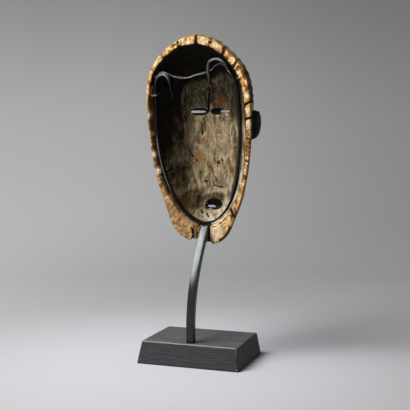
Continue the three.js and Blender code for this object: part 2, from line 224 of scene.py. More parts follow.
def ring_body(rings):
    """Points and faces of a closed body made of rings of points, with flat fans at its two ends."""
    count, sides = rings.shape[:2]
    points = np.concatenate([rings.reshape(-1, 3), rings[:1].mean(axis=1), rings[-1:].mean(axis=1)])
    faces = []
    for i in range(count - 1):
        for j in range(sides):
            k = (j + 1) % sides
            faces.append((i * sides + j, i * sides + k, (i + 1) * sides + k, (i + 1) * sides + j))
    first, last = count * sides, count * sides + 1
    for j in range(sides):
        k = (j + 1) % sides
        faces.append((first, k, j))
        faces.append((last, (count - 1) * sides + j, (count - 1) * sides + k))
    return points, faces


def rounded_section(width, thickness, radius=0.7, corner_steps=4):
    """A rectangle with rounded corners, counted from its middle."""
    section = []
    for quarter in range(4):
        sx = 1 if quarter in (0, 3) else -1
        sy = 1 if quarter in (0, 1) else -1
        for i in range(corner_steps + 1):
            angle = math.pi / 2 * (quarter + i / corner_steps)
            section.append((sx * (width / 2 - radius) + radius * math.cos(angle),
                            sy * (thickness / 2 - radius) + radius * math.sin(angle)))
    return section


def through(points, steps):
    """A smooth line through points, evenly divided."""
    points = np.asarray(points, float)
    ends = np.concatenate([2 * points[:1] - points[1:2], points, 2 * points[-1:] - points[-2:-1]])
    line = []
    for i in range(1, len(ends) - 2):
        before, start, end, after = ends[i - 1:i + 3]
        knots = np.cumsum([0] + [max(1e-6, np.linalg.norm(b - a)) ** 0.5
                                 for a, b in ((before, start), (start, end), (end, after))])
        for t in np.linspace(knots[1], knots[2], 24, endpoint=False):
            a1 = mix(before, start, (t - knots[0]) / (knots[1] - knots[0]))
            a2 = mix(start, end, (t - knots[1]) / (knots[2] - knots[1]))
            a3 = mix(end, after, (t - knots[2]) / (knots[3] - knots[2]))
            b1 = mix(a1, a2, (t - knots[0]) / (knots[2] - knots[0]))
            b2 = mix(a2, a3, (t - knots[1]) / (knots[3] - knots[1]))
            line.append(mix(b1, b2, (t - knots[1]) / (knots[2] - knots[1])))
    line.append(ends[-2])
    line = np.array(line)
    run = run_along(line)
    even = np.linspace(0, run[-1], steps + 1)
    return np.stack([np.interp(even, run, line[:, axis]) for axis in range(3)], axis=1)


def from_mask_frame(points):
    """Points of the mask's frame, in millimetres, as metres in the row's frame."""
    turn = np.array(MASK_FRAME.to_3x3())
    return np.asarray(points, float) * MM @ turn.T + np.array(MASK_PLACE)


# The camera stands where the photograph's did, level in roll and looking a little down.
PHOTO_SIZE = 410
FOCAL_PIXELS = 850
CAMERA_PLACE = (-0.4716, 1.3159, 0.3548)
CAMERA_AZIMUTH = 199.41
CAMERA_DOWN = 4.015


def make_camera():
    lens = bpy.data.cameras.new("camera")
    lens.sensor_width = 36
    lens.lens = lens.sensor_width * FOCAL_PIXELS / PHOTO_SIZE
    lens.clip_end = 30
    camera = bpy.data.objects.new("camera", lens)
    camera.location = CAMERA_PLACE
    camera.rotation_euler = (math.radians(90 - CAMERA_DOWN), 0, math.radians(CAMERA_AZIMUTH))
    bpy.context.scene.collection.objects.link(camera)
    bpy.context.scene.camera = camera


make_camera()


def linear(red, green, blue):
    """A colour as seen on a screen, 0 to 255, as the shader's linear one."""
    tones = [v / 255 for v in (red, green, blue)]
    return tuple(v / 12.92 if v <= 0.04045 else ((v + 0.055) / 1.055) ** 2.4 for v in tones) + (1,)


class Value:
    """A socket that varies over a surface. Sums and products with it add Math nodes."""

    def __init__(self, finish, socket):
        self.finish = finish
        self.socket = socket

    def __add__(self, other):
        return self.finish.maths("ADD", self, other)

    def __sub__(self, other):
        return self.finish.maths("SUBTRACT", self, other)

    def __rsub__(self, other):
        return self.finish.maths("SUBTRACT", other, self)

    def __mul__(self, other):
        return self.finish.maths("MULTIPLY", self, other)

    __radd__ = __add__
    __rmul__ = __mul__


class Finish:
    """A material and the nodes that give its colour, roughness and bump."""

    def __init__(self, name, metallic=0.0, specular=0.5, on_mask=False):
        self.material = bpy.data.materials.new(name)
        self.material.use_nodes = True
        self.tree = self.material.node_tree
        self.shader = self.tree.nodes["Principled BSDF"]
        self.shader.inputs["Metallic"].default_value = metallic
        self.shader.inputs["Specular IOR Level"].default_value = specular
        self.place = self.node("ShaderNodeTexCoord", {}, {}, "Object")
        if on_mask:
            turned = {"Vector": self.place, "Location": MASK_PLACE, "Rotation": (math.pi / 2 - LEAN, 0, 0)}
            self.place = self.node("ShaderNodeMapping", {"vector_type": "TEXTURE"}, turned)

    def node(self, kind, settings, sockets, output=0):
        """Adds one node: its settings come first, then the values or links of its sockets."""
        made = self.tree.nodes.new(kind)
        for name, setting in settings.items():
            setattr(made, name, setting)
        for name, value in sockets.items():
            self.feed(made.inputs[name], value)
        return Value(self, made.outputs[output])

    def feed(self, socket, value):
        if isinstance(value, Value):
            self.tree.links.new(value.socket, socket)
        else:
            socket.default_value = value

    def maths(self, operation, *values):
        return self.node("ShaderNodeMath", {"operation": operation}, dict(enumerate(values)))

    def most(self, a, b):
        return self.maths("MAXIMUM", a, b)

    def blend(self, amount, first, second):
        """Two colours blended. Three numbers are a colour as on a screen, four are linear."""
        first, second = [linear(*tone) if isinstance(tone, tuple) and len(tone) == 3 else tone
                         for tone in (first, second)]
        settings = {"data_type": "RGBA", "blend_type": "MIX", "clamp_factor": True}
        return self.node("ShaderNodeMix", settings, {0: amount, 6: first, 7: second}, 2)

    def tones(self, low, high, value, first, second):
        """A colour that goes from the first to the second as the value rises from low to high."""
        return self.blend(self.rise(low, high, value), first, second)

    def coats(self, tone, *coats):
        """Lays coats over a tone, one after another: how much of each, and its colour."""
        for amount, coat in coats:
            tone = self.blend(amount, tone, coat)
        return tone

    def rise(self, low, high, value):
        """0 below low and 1 above high, smoothly between them."""
        settings = {"interpolation_type": "SMOOTHSTEP"}
        return self.node("ShaderNodeMapRange", settings, {"Value": value, "From Min": low, "From Max": high})

    def along(self, axis):
        """A coordinate of the place, in millimetres."""
        return self.node("ShaderNodeSeparateXYZ", {}, {"Vector": self.place}, axis) * 1000

    def noise(self, size, detail=3.0, roughness=0.55, distortion=0.0):
        """Cloudy values from 0 to 1, in lumps of this size along x, y and z, in millimetres."""
        across = self.node("ShaderNodeVectorMath", {"operation": "MULTIPLY"},
                           {0: self.place, 1: [1000 / length for length in size]})
        return self.node("ShaderNodeTexNoise", {}, {"Vector": across, "Scale": 1.0, "Detail": detail,
                                                    "Roughness": roughness, "Distortion": distortion})

    def mark(self, name):
        """A value that the mesh carries at its points."""
        return self.node("ShaderNodeAttribute", {"attribute_name": name}, {}, "Fac")

    def finish_with(self, colour, roughness, height, depth, strength=1.0):
        """Feeds the shader. depth is the bump's height in millimetres."""
        self.feed(self.shader.inputs["Base Color"], colour)
        self.feed(self.shader.inputs["Roughness"], roughness)
        bump = self.node("ShaderNodeBump", {}, {"Strength": strength, "Distance": depth * MM, "Height": height})
        self.feed(self.shader.inputs["Normal"], bump)
        return self.material


def black_steel_paint(name, gloss, black, dusty):
    """Satin black paint on steel, with a fine orange-peel, dust, a few small chips, and lighter rubbed paint where
    the mesh marks it, partly a painted highlight.
    """
    paint = Finish(name, specular=gloss)
    peel = paint.noise((1.1, 1.1, 1.1), 2)
    dust = paint.rise(0.45, 0.75, paint.noise((14, 14, 20), 4, 0.65))
    chips = paint.rise(0.735, 0.75, paint.noise((2.6, 2.6, 2.6), 2))
    colour = paint.coats(
        paint.blend(dust * 0.35, black, dusty),
        # Rubbed paint on the hooks, with painted highlights on their tops and along the strip's edge.
        (paint.mark("rubbed") * (0.6 + 0.4 * dust), (142, 146, 146)),
        (chips * 0.7, (128, 124, 116)),
    )
    paint.shader.inputs["Specular Tint"].default_value = (0.92, 0.98, 1, 1)
    return paint.finish_with(colour, 0.24 + 0.1 * dust + 0.2 * chips, peel - 0.6 * chips, 0.05, 0.2)


def black_wood_paint():
    """Thin black paint on open-grained wood, lighter grey on top as painted light and sheen, and worn to bare wood
    at edges and knocks.
    """
    paint = Finish("black_wood_paint")
    top = paint.mark("top")
    grain = paint.noise((70, 2.6, 1.7), 4, 0.6, 0.6)
    pores = paint.rise(0.52, 0.64, paint.noise((26, 0.9, 0.9), 2))
    smudges = paint.noise((46, 22, 12), 4, 0.6)
    edge = paint.rise(0.42, 0.62, paint.mark("worn") + 0.5 * paint.noise((5, 5, 3), 3) - 0.25)
    colour = paint.coats(
        paint.tones(0.35, 0.7, grain, (11, 15, 18), (30, 35, 39)),
        (paint.rise(0.3, 0.75, smudges) * 0.5, (24, 28, 30)),
        # Painted light: the top is greyer, as lit from above and catching sheen.
        (top * 0.8, (74, 76, 74)),
        (top * paint.rise(0.42, 0.7, smudges) * 0.5, (98, 98, 93)),
        (edge * 0.8, (126, 118, 102)),
        (paint.rise(0.5, 0.6, paint.mark("bare")) * 0.8, (168, 140, 110)),
        (pores * 0.35, (26, 28, 30)),
    )
    return paint.finish_with(colour, 0.46 + 0.22 * grain, grain - 0.5 * pores, 0.35, 0.7)


def grey_wire_metal():
    """Soft grey steel wire with dull spots and a little rust."""
    metal = Finish("grey_wire_metal", metallic=0.85)
    dull = metal.noise((2.4, 2.4, 2.4), 3)
    rust = metal.rise(0.6, 0.72, metal.noise((7, 7, 7), 3))
    colour = metal.coats(metal.blend(dull, (104, 101, 94), (192, 188, 178)), (rust * 0.6, (112, 84, 58)))
    return metal.finish_with(colour, 0.3 + 0.35 * rust, dull, 0.06, 0.5)


def carved_wood():
    """The mask's wood: black patina outside, raw weathered wood on the rim, stained wood in the hollow, with
    painted light and shade on the rim and in the hollow.
    """
    wood = Finish("carved_wood", specular=0.18, on_mask=True)
    mark, noise, rise, tones = wood.mark, wood.noise, wood.rise, wood.tones
    inside, fresh_and_lit, lobe = mark("inside"), mark("fresh_and_lit"), mark("lobe")
    mottle = noise((10, 22, 12), 6, 0.68, 0.7)
    fibre = noise((1.5, 42, 3.5), 4, 0.62, 0.4)
    streak = noise((6, 80, 14), 4, 0.6, 1.0)
    cloud = noise((26, 34, 26), 5, 0.62)
    blotch = noise((9, 15, 9), 5, 0.7, 0.5)
    speckle = noise((2.2, 2.8, 2.2), 3, 0.7)
    speck = noise((1.2, 1.6, 1.2), 2, 0.6)
    # Painted shade in the slots, the pocket, the eye corners and the notch, with the dark nicks, cracks and groove.
    dark_and_shade = rise(0.35, 0.8, mark("dark_and_shade") + 0.4 * (mottle - 0.5))

    # The hollow is tan where it is clean, under olive-brown dirt and painted shade, with blotches and broad streaks
    # down it.
    grey = rise(0.4, 0.9, mark("grey") + 0.8 * (mottle - 0.5))
    patch = mark("rust") + 1.7 * (noise((4, 6.5, 5), 5, 0.72, 0.6) - 0.5)
    clean = wood.coats(
        tones(0.34, 0.66, mottle, (94, 72, 43), (212, 192, 152)),
        (rise(0.42, 0.62, streak) * 0.4, (126, 104, 76)),
        # Pale wood, with painted light on the right wall and the chin's floor.
        (mark("pale_and_lit") * rise(0.3, 0.55, mottle), (210, 201, 180)),
        (grey * 0.5, (134, 130, 114)),
        (rise(0.5, 0.8, patch) * 0.85, tones(0.35, 0.65, speckle, (98, 52, 20), (198, 146, 84))),
    )
    soiled = wood.coats(
        tones(0.38, 0.66, mottle, (18, 14, 8), (112, 98, 70)),
        (rise(0.45, 0.6, streak) * 0.6, (46, 35, 20)),
        (mark("olive") * rise(0.3, 0.6, mottle) * 0.8, (78, 76, 56)),
        (rise(0.56, 0.82, patch) * 0.75, (108, 62, 28)),
    )
    # Dirt, with painted shade high on the panel, on its left and above the mouth's pocket.
    spread = mark("dirt_and_shade") + (cloud - 0.5) + 0.4 * (streak - 0.5) + 0.7 * (mottle - 0.5)
    # Soot, with painted shade on the crown and on the left wall, which faces away from the light.
    soot_and_shade = rise(0.22, 0.78, mark("soot_and_shade") + 0.8 * (cloud - 0.5) + 0.45 * (mottle - 0.5))
    hollow = wood.coats(
        tones(0.3, 0.7, spread, clean, soiled),
        (mark("blue") * rise(0.48, 0.6, noise((3, 50, 8), 3, 0.6)) * 0.6, (78, 88, 92)),
        (rise(0.4, 0.8, mark("umber") + 0.7 * (mottle - 0.5)) * 0.65, (62, 34, 18)),
        (rise(0.25, 0.8, mark("ridge") + 0.5 * (mottle - 0.5)) * 0.7, (168, 128, 100)),
        (rise(0.54, 0.66, noise((6, 22, 10), 5, 0.7, 0.8)) * 0.5, (44, 32, 18)),
        (rise(0.585, 0.64, noise((3.2, 4.6, 3.2), 4, 0.7)) * 0.75, (44, 28, 13)),
        (rise(0.58, 0.68, noise((2.1, 5.2, 2.1), 3, 0.7)) * (0.4 - 0.25 * dark_and_shade), (222, 200, 158)),
        (soot_and_shade * 0.97, tones(0.45, 0.7, mottle, (5, 4, 2), (24, 16, 7))),
        (rise(0.58, 0.68, speckle) * 0.4, (48, 34, 18)),
        # Painted shade near the rim, in the corner by the strip and as the strip's shadow.
        (mark("shade") * (0.72 + 0.45 * mottle), (24, 17, 11)),
        (dark_and_shade, (14, 9, 5)),
    )

    # The rim is raw wood: yellow where it is worn, brown in its pits and streaks, darker along its outer edge.
    hewn = mark("hewn") + 0.5 * (fibre - 0.5) + 0.4 * (speckle - 0.5) + 0.6 * (blotch - 0.5)
    stained = rise(0.5, 0.62, noise((7, 8, 7), 5, 0.72, 0.6) + 0.26 * (mark("chamfer") - 0.45))
    raw = wood.coats(
        tones(0.36, 0.6, hewn, (158, 98, 40), (238, 194, 128)),
        (rise(0.52, 0.62, blotch) * 0.5, (246, 216, 164)),
        (rise(0.4, 0.24, hewn) * 0.85, (74, 38, 12)),
        (stained * 0.85, tones(0.4, 0.6, speckle, (64, 34, 11), (152, 92, 42))),
        (rise(0.57, 0.63, noise((3.4, 4.4, 3.4), 4, 0.72)) * 0.5, (66, 34, 12)),
        # Painted shade in the corner by the strip.
        (mark("shade") * rise(0.3, 0.5, mottle), (34, 22, 13)),
        (rise(0.4, 0.9, mark("edge") + 0.8 * (blotch - 0.5)) * 0.55, (92, 62, 34)),
        (lobe * 0.6, tones(0.35, 0.65, blotch, (108, 78, 50), (198, 160, 116))),
        (lobe * rise(0.42, 0.6, noise((1.9, 2.4, 1.9), 4, 0.75)) * 0.8,
         wood.blend(speck, (62, 46, 28), (160, 146, 112))),
        (lobe * rise(0.54, 0.62, noise((4, 5, 4), 4, 0.7)) * 0.65, (178, 98, 50)),
        # Brown wood, with painted shade on the left rim's inner side, above the leaf and on the stump by the stem.
        (rise(0.35, 0.75, mark("brown_and_shade") + 0.7 * (blotch - 0.5)) * 0.85,
         tones(0.4, 0.62, speckle, (44, 26, 10), (112, 82, 42))),
        # Fresh chips, and the leaf on the right lobe brightened as painted light.
        (fresh_and_lit, wood.blend(fibre, (214, 178, 130), (255, 234, 192))),
        (mark("wrap") * (0.2 + 0.4 * mark("crown")), (90, 72, 40)),
        (dark_and_shade * 0.9, (34, 18, 7)),
    )

    # The outside is black from handling, brown where it is rubbed, and grey-green near the rim.
    rubbed = rise(0.45, 0.85, mark("proud") + 0.5 * (cloud - 0.5) + 0.4 * (speckle - 0.5))
    weathered = rise(0.5, 0.8, mark("weathered") * (0.5 + cloud))
    patina = wood.coats(
        tones(0.35, 0.7, cloud, (18, 16, 14), (36, 31, 25)),
        (rubbed * 0.7, (82, 60, 40)),
        (rise(0.58, 0.72, fibre) * 0.4, (12, 10, 8)),
        (weathered * 0.6, wood.blend(fibre, (52, 46, 32), (104, 92, 66))),
        (dark_and_shade, (10, 8, 6)),
    )

    ragged = 0.35 * (noise((3, 4, 3), 3, 0.6) - 0.5)
    bare = rise(0.42, 0.58, wood.most(wood.most(mark("rim"), fresh_and_lit), mark("wrap")) + ragged)
    colour = wood.coats(patina, (rise(0.42, 0.58, inside + ragged), hollow), (bare, raw))
    roughness = 0.88 - (1 - wood.most(inside, bare)) * (0.42 - 0.25 * rubbed)
    height = 0.6 * fibre + 0.5 * speckle + 0.5 * blotch - 0.4 * stained * bare
    return wood.finish_with(colour, roughness, height, 0.9, 0.8)


finishes = {
    "bar": black_steel_paint("black_bar_paint", 0.5, (9, 11, 13), (29, 33, 36)),
    "strip": black_steel_paint("black_strip_paint", 0.15, (4, 4, 4), (17, 17, 17)),
    "base": black_wood_paint(),
    "wire": grey_wire_metal(),
    "wood": carved_wood(),
}

# The hanging wire's route, in the mask's frame: from its hole on the left, over the left hook, across, and to
# the right hole.
WIRE_ROUTE = (
    (80.5, 241, 8), (74.8, 241, 8), (69.8, 243, 7.3), (63.8, 247.2, 5.6), (57, 247.8, 5.1), (50, 244.9, 6.2),
    (42, 240.6, 9), (33, 238.6, 10.8), (24, 237.6, 11.8), (14.5, 238.6, 12), (6, 241.2, 12), (-5, 243.6, 12),
    (-14.5, 245.8, 12), (-21.5, 248.6, 12.4), (-29, 255.4, 13), (-36.4, 258.8, 13), (-43.4, 256.6, 13),
    (-49.4, 250.2, 13), (-55.4, 242.4, 12.8), (-61.4, 237, 12.2), (-66.6, 234.5, 11), (-69.9, 234, 8.5),
    (-76.4, 234, 8.5),
)
STRAND = 1.05
STRAND_OFFSET = 0.62
TWIST_PITCH = 10.5
KNOT_WIRE = 0.9


def round_section(diameter, sides=8):
    turns = [2 * math.pi * i / sides for i in range(sides)]
    return [(diameter / 2 * math.cos(a), diameter / 2 * math.sin(a)) for a in turns]


def joined(bodies):
    """Several bodies as one list of points and one of faces."""
    points, faces, start = [], [], 0
    for body_points, body_faces in bodies:
        points.extend(body_points)
        faces.extend(tuple(i + start for i in face) for face in body_faces)
        start += len(body_points)
    return np.array(points), faces


def wound(path, radius, turns, start):
    """A line that winds round a path, at a radius that may change along it."""
    along = unit(np.gradient(path, axis=0))
    side = unit(np.cross(along, (0, 0, 1)))
    over = np.cross(side, along)
    run = run_along(path)
    angle = start + 2 * math.pi * turns * run / run[-1]
    radius = np.broadcast_to(radius, len(path))
    return path + (radius * np.cos(angle))[:, None] * side + (radius * np.sin(angle))[:, None] * over


def make_hanging_wire():
    steps = 420
    path = through(WIRE_ROUTE, steps)
    length = run_along(path)[-1]
    # The two strands part in two small eyes beside the left hook and before the right one.
    across = path[:, 0]
    parted = np.exp(-(((across - 33) / 8) ** 2)) + 0.8 * np.exp(-(((across + 8) / 7) ** 2))
    radius = STRAND_OFFSET + 1.3 * parted
    turns = round(length / TWIST_PITCH)
    strands = [swept(wound(path, radius, turns, start), round_section(STRAND), (0.02, 0.05, 1))
               for start in (0, math.pi)]
    knots = []
    for first, last, turns in ((10, 28, 4), (steps - 30, steps - 14, 4)):
        stretch = through(path[first:last], 90)
        knots.append(swept(wound(stretch, 1.75, turns, 0), round_section(KNOT_WIRE, 6), (0.02, 0.05, 1)))
    points, faces = joined(strands + knots)
    wire = new_piece("hanging_wire_pair", from_mask_frame(points), faces, finishes["wire"])
    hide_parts("hanging_wire")


make_hanging_wire()


def egg_outline(size, spokes):
    """Points on an egg outline, evenly spaced along it."""
    turn = np.linspace(0, 2 * math.pi, 4001)
    up = np.sin(turn)
    reach = np.where(up > 0, size["above"], -size["below"])
    power = np.where(up > 0, 2 / size["round_above"], 2 / size["round_below"])
    x = size["half_width"] * np.cos(turn)
    y = size["widest"] + reach * np.abs(up) ** power
    x, y = flatten(size, x, y, -1)
    run = run_along(np.stack([x, y], axis=1))
    even = np.linspace(0, run[-1], spokes, endpoint=False)
    return np.interp(even, run, x), np.interp(even, run, y)


def flatten(size, x, y, sign):
    """Moves places in by the depth of the outline's flat shoulders, or out again."""
    depth = sum(deep * hump((x - fx) / spread, (y - fy) / spread) for fx, fy, spread, deep in size["flats"])
    reach = np.maximum(1, np.hypot(x, y - HOLLOW_CENTRE))
    return x + sign * depth * x / reach, y + sign * depth * (y - HOLLOW_CENTRE) / reach


def egg_ratio(size, x, y):
    """Below 1 inside an egg outline and above 1 outside it."""
    x, y = flatten(size, x, y, 1)
    up = y - size["widest"]
    high = np.abs(up / size["above"]) ** size["round_above"]
    low = np.abs(up / size["below"]) ** size["round_below"]
    return (x / size["half_width"]) ** 2 + np.where(up > 0, high, low)


def bowl_rings(size, centre, depth, wall, spokes, rings, flare, flare_end, flare_depth):
    """Rings of points from the rim to the middle. flare widens the bowl's edge at the sides, flare_end at the
    crown and chin."""
    edge_x, edge_y = egg_outline(size, spokes)
    reach = np.hypot(edge_x, edge_y - centre)
    up = (edge_y - centre) / reach
    turn = np.linspace(0, math.pi / 2, 600)
    points = np.zeros((rings + 1, spokes, 3))
    for j in range(spokes):
        end = wall["crown"] if up[j] > 0 else wall["chin"]
        taper, fullness = [mix(a, b, up[j] ** 2) for a, b in zip(wall["side"], end)]
        out = reach[j] * np.maximum(0, np.cos(turn)) ** (2 / fullness)
        deep = depth * np.sin(turn) ** (2 / taper)
        widen = mix(flare, flare_end, smooth(0.35, 0.95, abs(up[j])))
        out = out + widen * np.exp(-deep / flare_depth) * np.minimum(1, out / 20)
        run = run_along(np.stack([out, deep], axis=1))
        even = np.linspace(0, run[-1], rings + 1)
        share = np.interp(even, run, out) / reach[j]
        points[:, j, 0] = edge_x[j] * share
        points[:, j, 1] = centre + (edge_y[j] - centre) * share
        points[:, j, 2] = np.interp(even, run, deep)
    return points


def face_relief(x, y):
    """How far the carving of the face stands out from the plain outside, at a place on it."""
    side = np.abs(x)
    hairline = 258 - 0.0095 * side * side
    brow_line = 203 - 0.007 * (side - 16) ** 2
    nose_width = mix(7, 15, smooth(172, NOSE_TIP_HEIGHT, y))
    nose_height = mix(6, 21, smooth(196, NOSE_TIP_HEIGHT + 2, y)) * smooth(80, 92, y) * smooth(212, 190, y)
    hair = 3.5 * smooth(-1.5, 1.5, y - hairline)
    forehead = 4 * hump(x / 48, (y - 232) / 26)
    brow = 5 * np.exp(-(((y - brow_line) / 7) ** 2)) * smooth(68, 48, side)
    socket = -6 * hump((side - EYE_FRONT - 1) / 24, (y - EYE_HEIGHT + 2) / 17)
    lids = 5 * hump((side - EYE_FRONT) / 19, (y - EYE_HEIGHT) / 8.5, 2)
    nose = nose_height * hump(x / nose_width, 0, 1.3)
    nostrils = 5 * hump((side - 12) / 7, (y - 96) / 8)
    cheeks = 4 * hump((side - 46) / 22, (y - 118) / 34)
    lips = 8 * hump((x - LIPS_MIDDLE) / 24, (y - MOUTH_HEIGHT) / 12, 2)
    chin = 5 * hump(x / 28, (y + 14) / 12)
    return hair + forehead + brow + socket + lids + nose + nostrils + cheeks + lips + chin


def carve_face(rings):
    """Moves the outside's points out along its surface by the carving."""
    around = np.roll(rings, -1, axis=1) - np.roll(rings, 1, axis=1)
    inward = np.gradient(rings, axis=0)
    outward = unit(np.cross(around, inward))
    outward[-1] = (0, 0, 1)
    x, y, z = np.moveaxis(rings, 2, 0)
    return rings + outward * (face_relief(x, y) * smooth(2, 12, z))[..., None]


def shape_hollow(rings):
    """The inside of the hollow, flat where it meets the panel behind the face."""
    shaped = rings.copy()
    shaped[..., 0] += HOLLOW_SKEW * (shaped[..., 1] - HOLLOW_SKEW_HEIGHT)
    beyond = np.maximum(0, shaped[..., 2] - PANEL_DEPTH)
    shaped[..., 2] = np.minimum(shaped[..., 2], PANEL_DEPTH + 0.02 * beyond)
    return shaped


def shell_body(outside, inside):
    """Points and faces of the closed shell between the outside and the hollow."""
    spokes = outside.shape[1]
    blocks = [outside[:-1].reshape(-1, 3), outside[-1:, 0], inside[:-1].reshape(-1, 3), inside[-1:, 0]]
    starts = np.cumsum([0] + [len(block) for block in blocks])
    faces = []

    def bowl_faces(start, tip, rings, outer):
        for j in range(spokes):
            k = (j + 1) % spokes
            if not outer:
                j, k = k, j
            for i in range(rings - 1):
                low, high = start + i * spokes, start + (i + 1) * spokes
                faces.append((low + j, low + k, high + k, high + j))
            faces.append((start + (rings - 1) * spokes + j, start + (rings - 1) * spokes + k, tip))

    bowl_faces(starts[0], starts[1], len(outside) - 1, True)
    bowl_faces(starts[2], starts[3], len(inside) - 1, False)
    for j in range(spokes):
        k = (j + 1) % spokes
        faces.append((starts[0] + k, starts[0] + j, starts[2] + j, starts[2] + k))
    return np.concatenate(blocks), faces


def oval_cutter(x, y, size, start, end, slant=0.0, fullness=1.0, sides=48):
    """An oval hole's plug, from one depth to another. Below 1, fullness squares its ends."""
    turns = np.linspace(0, 2 * math.pi, sides, endpoint=False)
    across = np.sign(np.cos(turns)) * np.abs(np.cos(turns)) ** fullness
    up = np.sign(np.sin(turns)) * np.abs(np.sin(turns)) ** fullness
    return plug(np.stack([x + size[0] / 2 * across, y + size[1] / 2 * up], axis=1), start, end, slant)


def plug(outline, start, end, slant=0.0):
    """A closed body: an outline carried from one depth to another, and sideways by slant."""
    rings = np.array([[(px + slant * (depth - start), py, depth) for px, py in outline] for depth in (start, end)])
    return ring_body(rings)


def block_cutter(x, y, length, width, depth, turn):
    """A slot's plug: a block across the rim, turned to point at the middle of the hollow."""
    corners = ((-1, -1), (1, -1), (1, 1), (-1, 1))
    outline = []
    for sx, sy in corners:
        dx, dy = sx * length / 2, sy * width / 2
        outline.append((x + dx * math.cos(turn) - dy * math.sin(turn),
                        y + dx * math.sin(turn) + dy * math.cos(turn)))
    return plug(outline, -depth, depth)


def bite_cutter(x, y, radius, depth):
    """A broken bite's plug: a lumpy ball."""
    rings = []
    for i in range(1, 9):
        tilt = math.pi * i / 9
        turns = np.linspace(0, 2 * math.pi, 14, endpoint=False)
        size = radius * math.sin(tilt) * (1 + 0.14 * np.sin(3 * turns + i) + 0.1 * np.sin(5 * turns + 2 * i))
        rings.append(np.stack([x + size * np.cos(turns), y + size * np.sin(turns),
                               np.full(14, -depth * math.cos(tilt))], axis=1))
    return ring_body(np.array(rings))


# The slots sawn or split across the rim: place, width and depth.
RIM_SLOTS = (
    (28, 292, 3, 6), (-3, 299, 4.4, 9), (-26, 294, 3, 7), (-49, 280, 5, 8), (-68, 259, 3, 6), (-85, 195, 3.2, 7),
    (-86, 171, 3, 7), (-55, 12, 4, 7), (19, -30, 3.2, 9), (9.5, -22, 2.6, 6), (45, 284, 2.2, 4), (12, 297, 1.8, 3),
    (-14, 298, 2, 3.5), (-37, 288, 2, 4), (-78, 236, 2.4, 5), (62, 268, 2, 3.4), (-88, 140, 2, 3),
    (90, 214, 2, 3.4), (88, 140, 2.2, 4), (-80, 100, 2, 3), (74, 74, 2.4, 4),
)
SLOT_LENGTH = 30
# The bites broken out of the rim: place, radius and depth.
RIM_BITES = (
    (94, 179, 6.5, 7), (93, 115, 7, 7), (84.5, 84, 6.5, 6), (-55, 4, 5.5, 5), (96, 146, 4, 5), (74, 266, 5, 4),
    (-91, 212, 4, 4), (-62, 272, 5, 4), (81, 82, 5, 5), (-86, 118, 4, 4), (70, 58, 5, 4), (92, 228, 4, 4),
    (-33, 296, 5, 5), (36, 290, 4, 4), (-74, 250, 5, 4), (-72, 70, 4, 4),
)
# The two lobes beside the notch are worn round at their corners.
LOBE_CORNERS = (
    ((2, -30.5), (6, -31), (14, -31.6), (22, -33), (30, -36.5), (35, -50), (2, -50)),
    ((-12, -30), (-13.5, -36), (-17, -39.4), (-22, -41), (-27, -50), (-12, -50)),
)
WIRE_HOLE_DIAMETER = 4
NOTCH_RIGHT = -12.4
NOTCH_LEFT = 3.2
NOTCH_PROFILE = ((5, -10), (5, 22), (-12, 22), (-52, 15), (-52, -10))


def notch_cutter():
    rings = np.array([[(x, y, z) for y, z in NOTCH_PROFILE] for x in (NOTCH_RIGHT, NOTCH_LEFT)])
    return ring_body(rings)


def wire_hole_cutter(side, y, z):
    path = [(side * x, y, z) for x in (62, 75, 88, 102)]
    return swept(path, round_section(WIRE_HOLE_DIAMETER, 16), (0, 0, 1))


def ear_body(side):
    """A flat ear with a square upper corner and a rounded edge, for the side with this sign."""
    turn = np.linspace(0, 1, 14)
    start, end = np.array([EAR_ROOT + 12, EAR_BOTTOM + 3]), np.array([EAR_REACH - 5, EAR_TOP - 4])
    pull_one, pull_two = np.array([EAR_REACH + 2.5, EAR_BOTTOM + 12]), np.array([EAR_REACH + 0.5, EAR_TOP - 10])
    curve = [(1 - t) ** 3 * start + 3 * (1 - t) ** 2 * t * pull_one + 3 * (1 - t) * t * t * pull_two
             + t**3 * end for t in turn]
    outline = np.array([(EAR_ROOT, EAR_BOTTOM), *curve, (EAR_ROOT, EAR_TOP)])
    middle = np.array([EAR_ROOT, (EAR_BOTTOM + EAR_TOP) / 2])
    rings = []
    for depth, inset in ((0, 2.2), (0.7, 0.8), (2.4, 0), (EAR_THICKNESS - 2.4, 0), (EAR_THICKNESS - 0.7, 0.8),
                         (EAR_THICKNESS, 2.2)):
        size = 1 - inset / 24
        ring = middle + (outline - middle) * size
        rings.append([(side * x, y, EAR_START + depth) for x, y in ring])
    return ring_body(np.array(rings))


def cut_solid(body, cutters):
    """Takes each cutter out of a body, one after another."""
    made = [new_object(f"cutter_{i}", *cutter) for i, cutter in enumerate(cutters)]
    for cutter in made:
        turned = bmesh.new()
        turned.from_mesh(cutter.data)
        bmesh.ops.recalc_face_normals(turned, faces=turned.faces)
        turned.to_mesh(cutter.data)
        turned.free()
        step = body.modifiers.new(cutter.name, "BOOLEAN")
        step.operation = "DIFFERENCE"
        step.solver = "MANIFOLD"
        step.object = cutter
    settled(body)
    for cutter in made:
        bpy.data.objects.remove(cutter)


def settled(body):
    """Gives the body the mesh that its modifiers make."""
    view = bpy.context.evaluated_depsgraph_get()
    mesh = bpy.data.meshes.new_from_object(body.evaluated_get(view))
    body.modifiers.clear()
    old = body.data
    body.data = mesh
    bpy.data.meshes.remove(old)
    return mesh


def mesh_points(mesh, what="co"):
    flat = np.zeros(3 * len(mesh.vertices))
    mesh.vertices.foreach_get(what, flat)
    return flat.reshape(-1, 3)


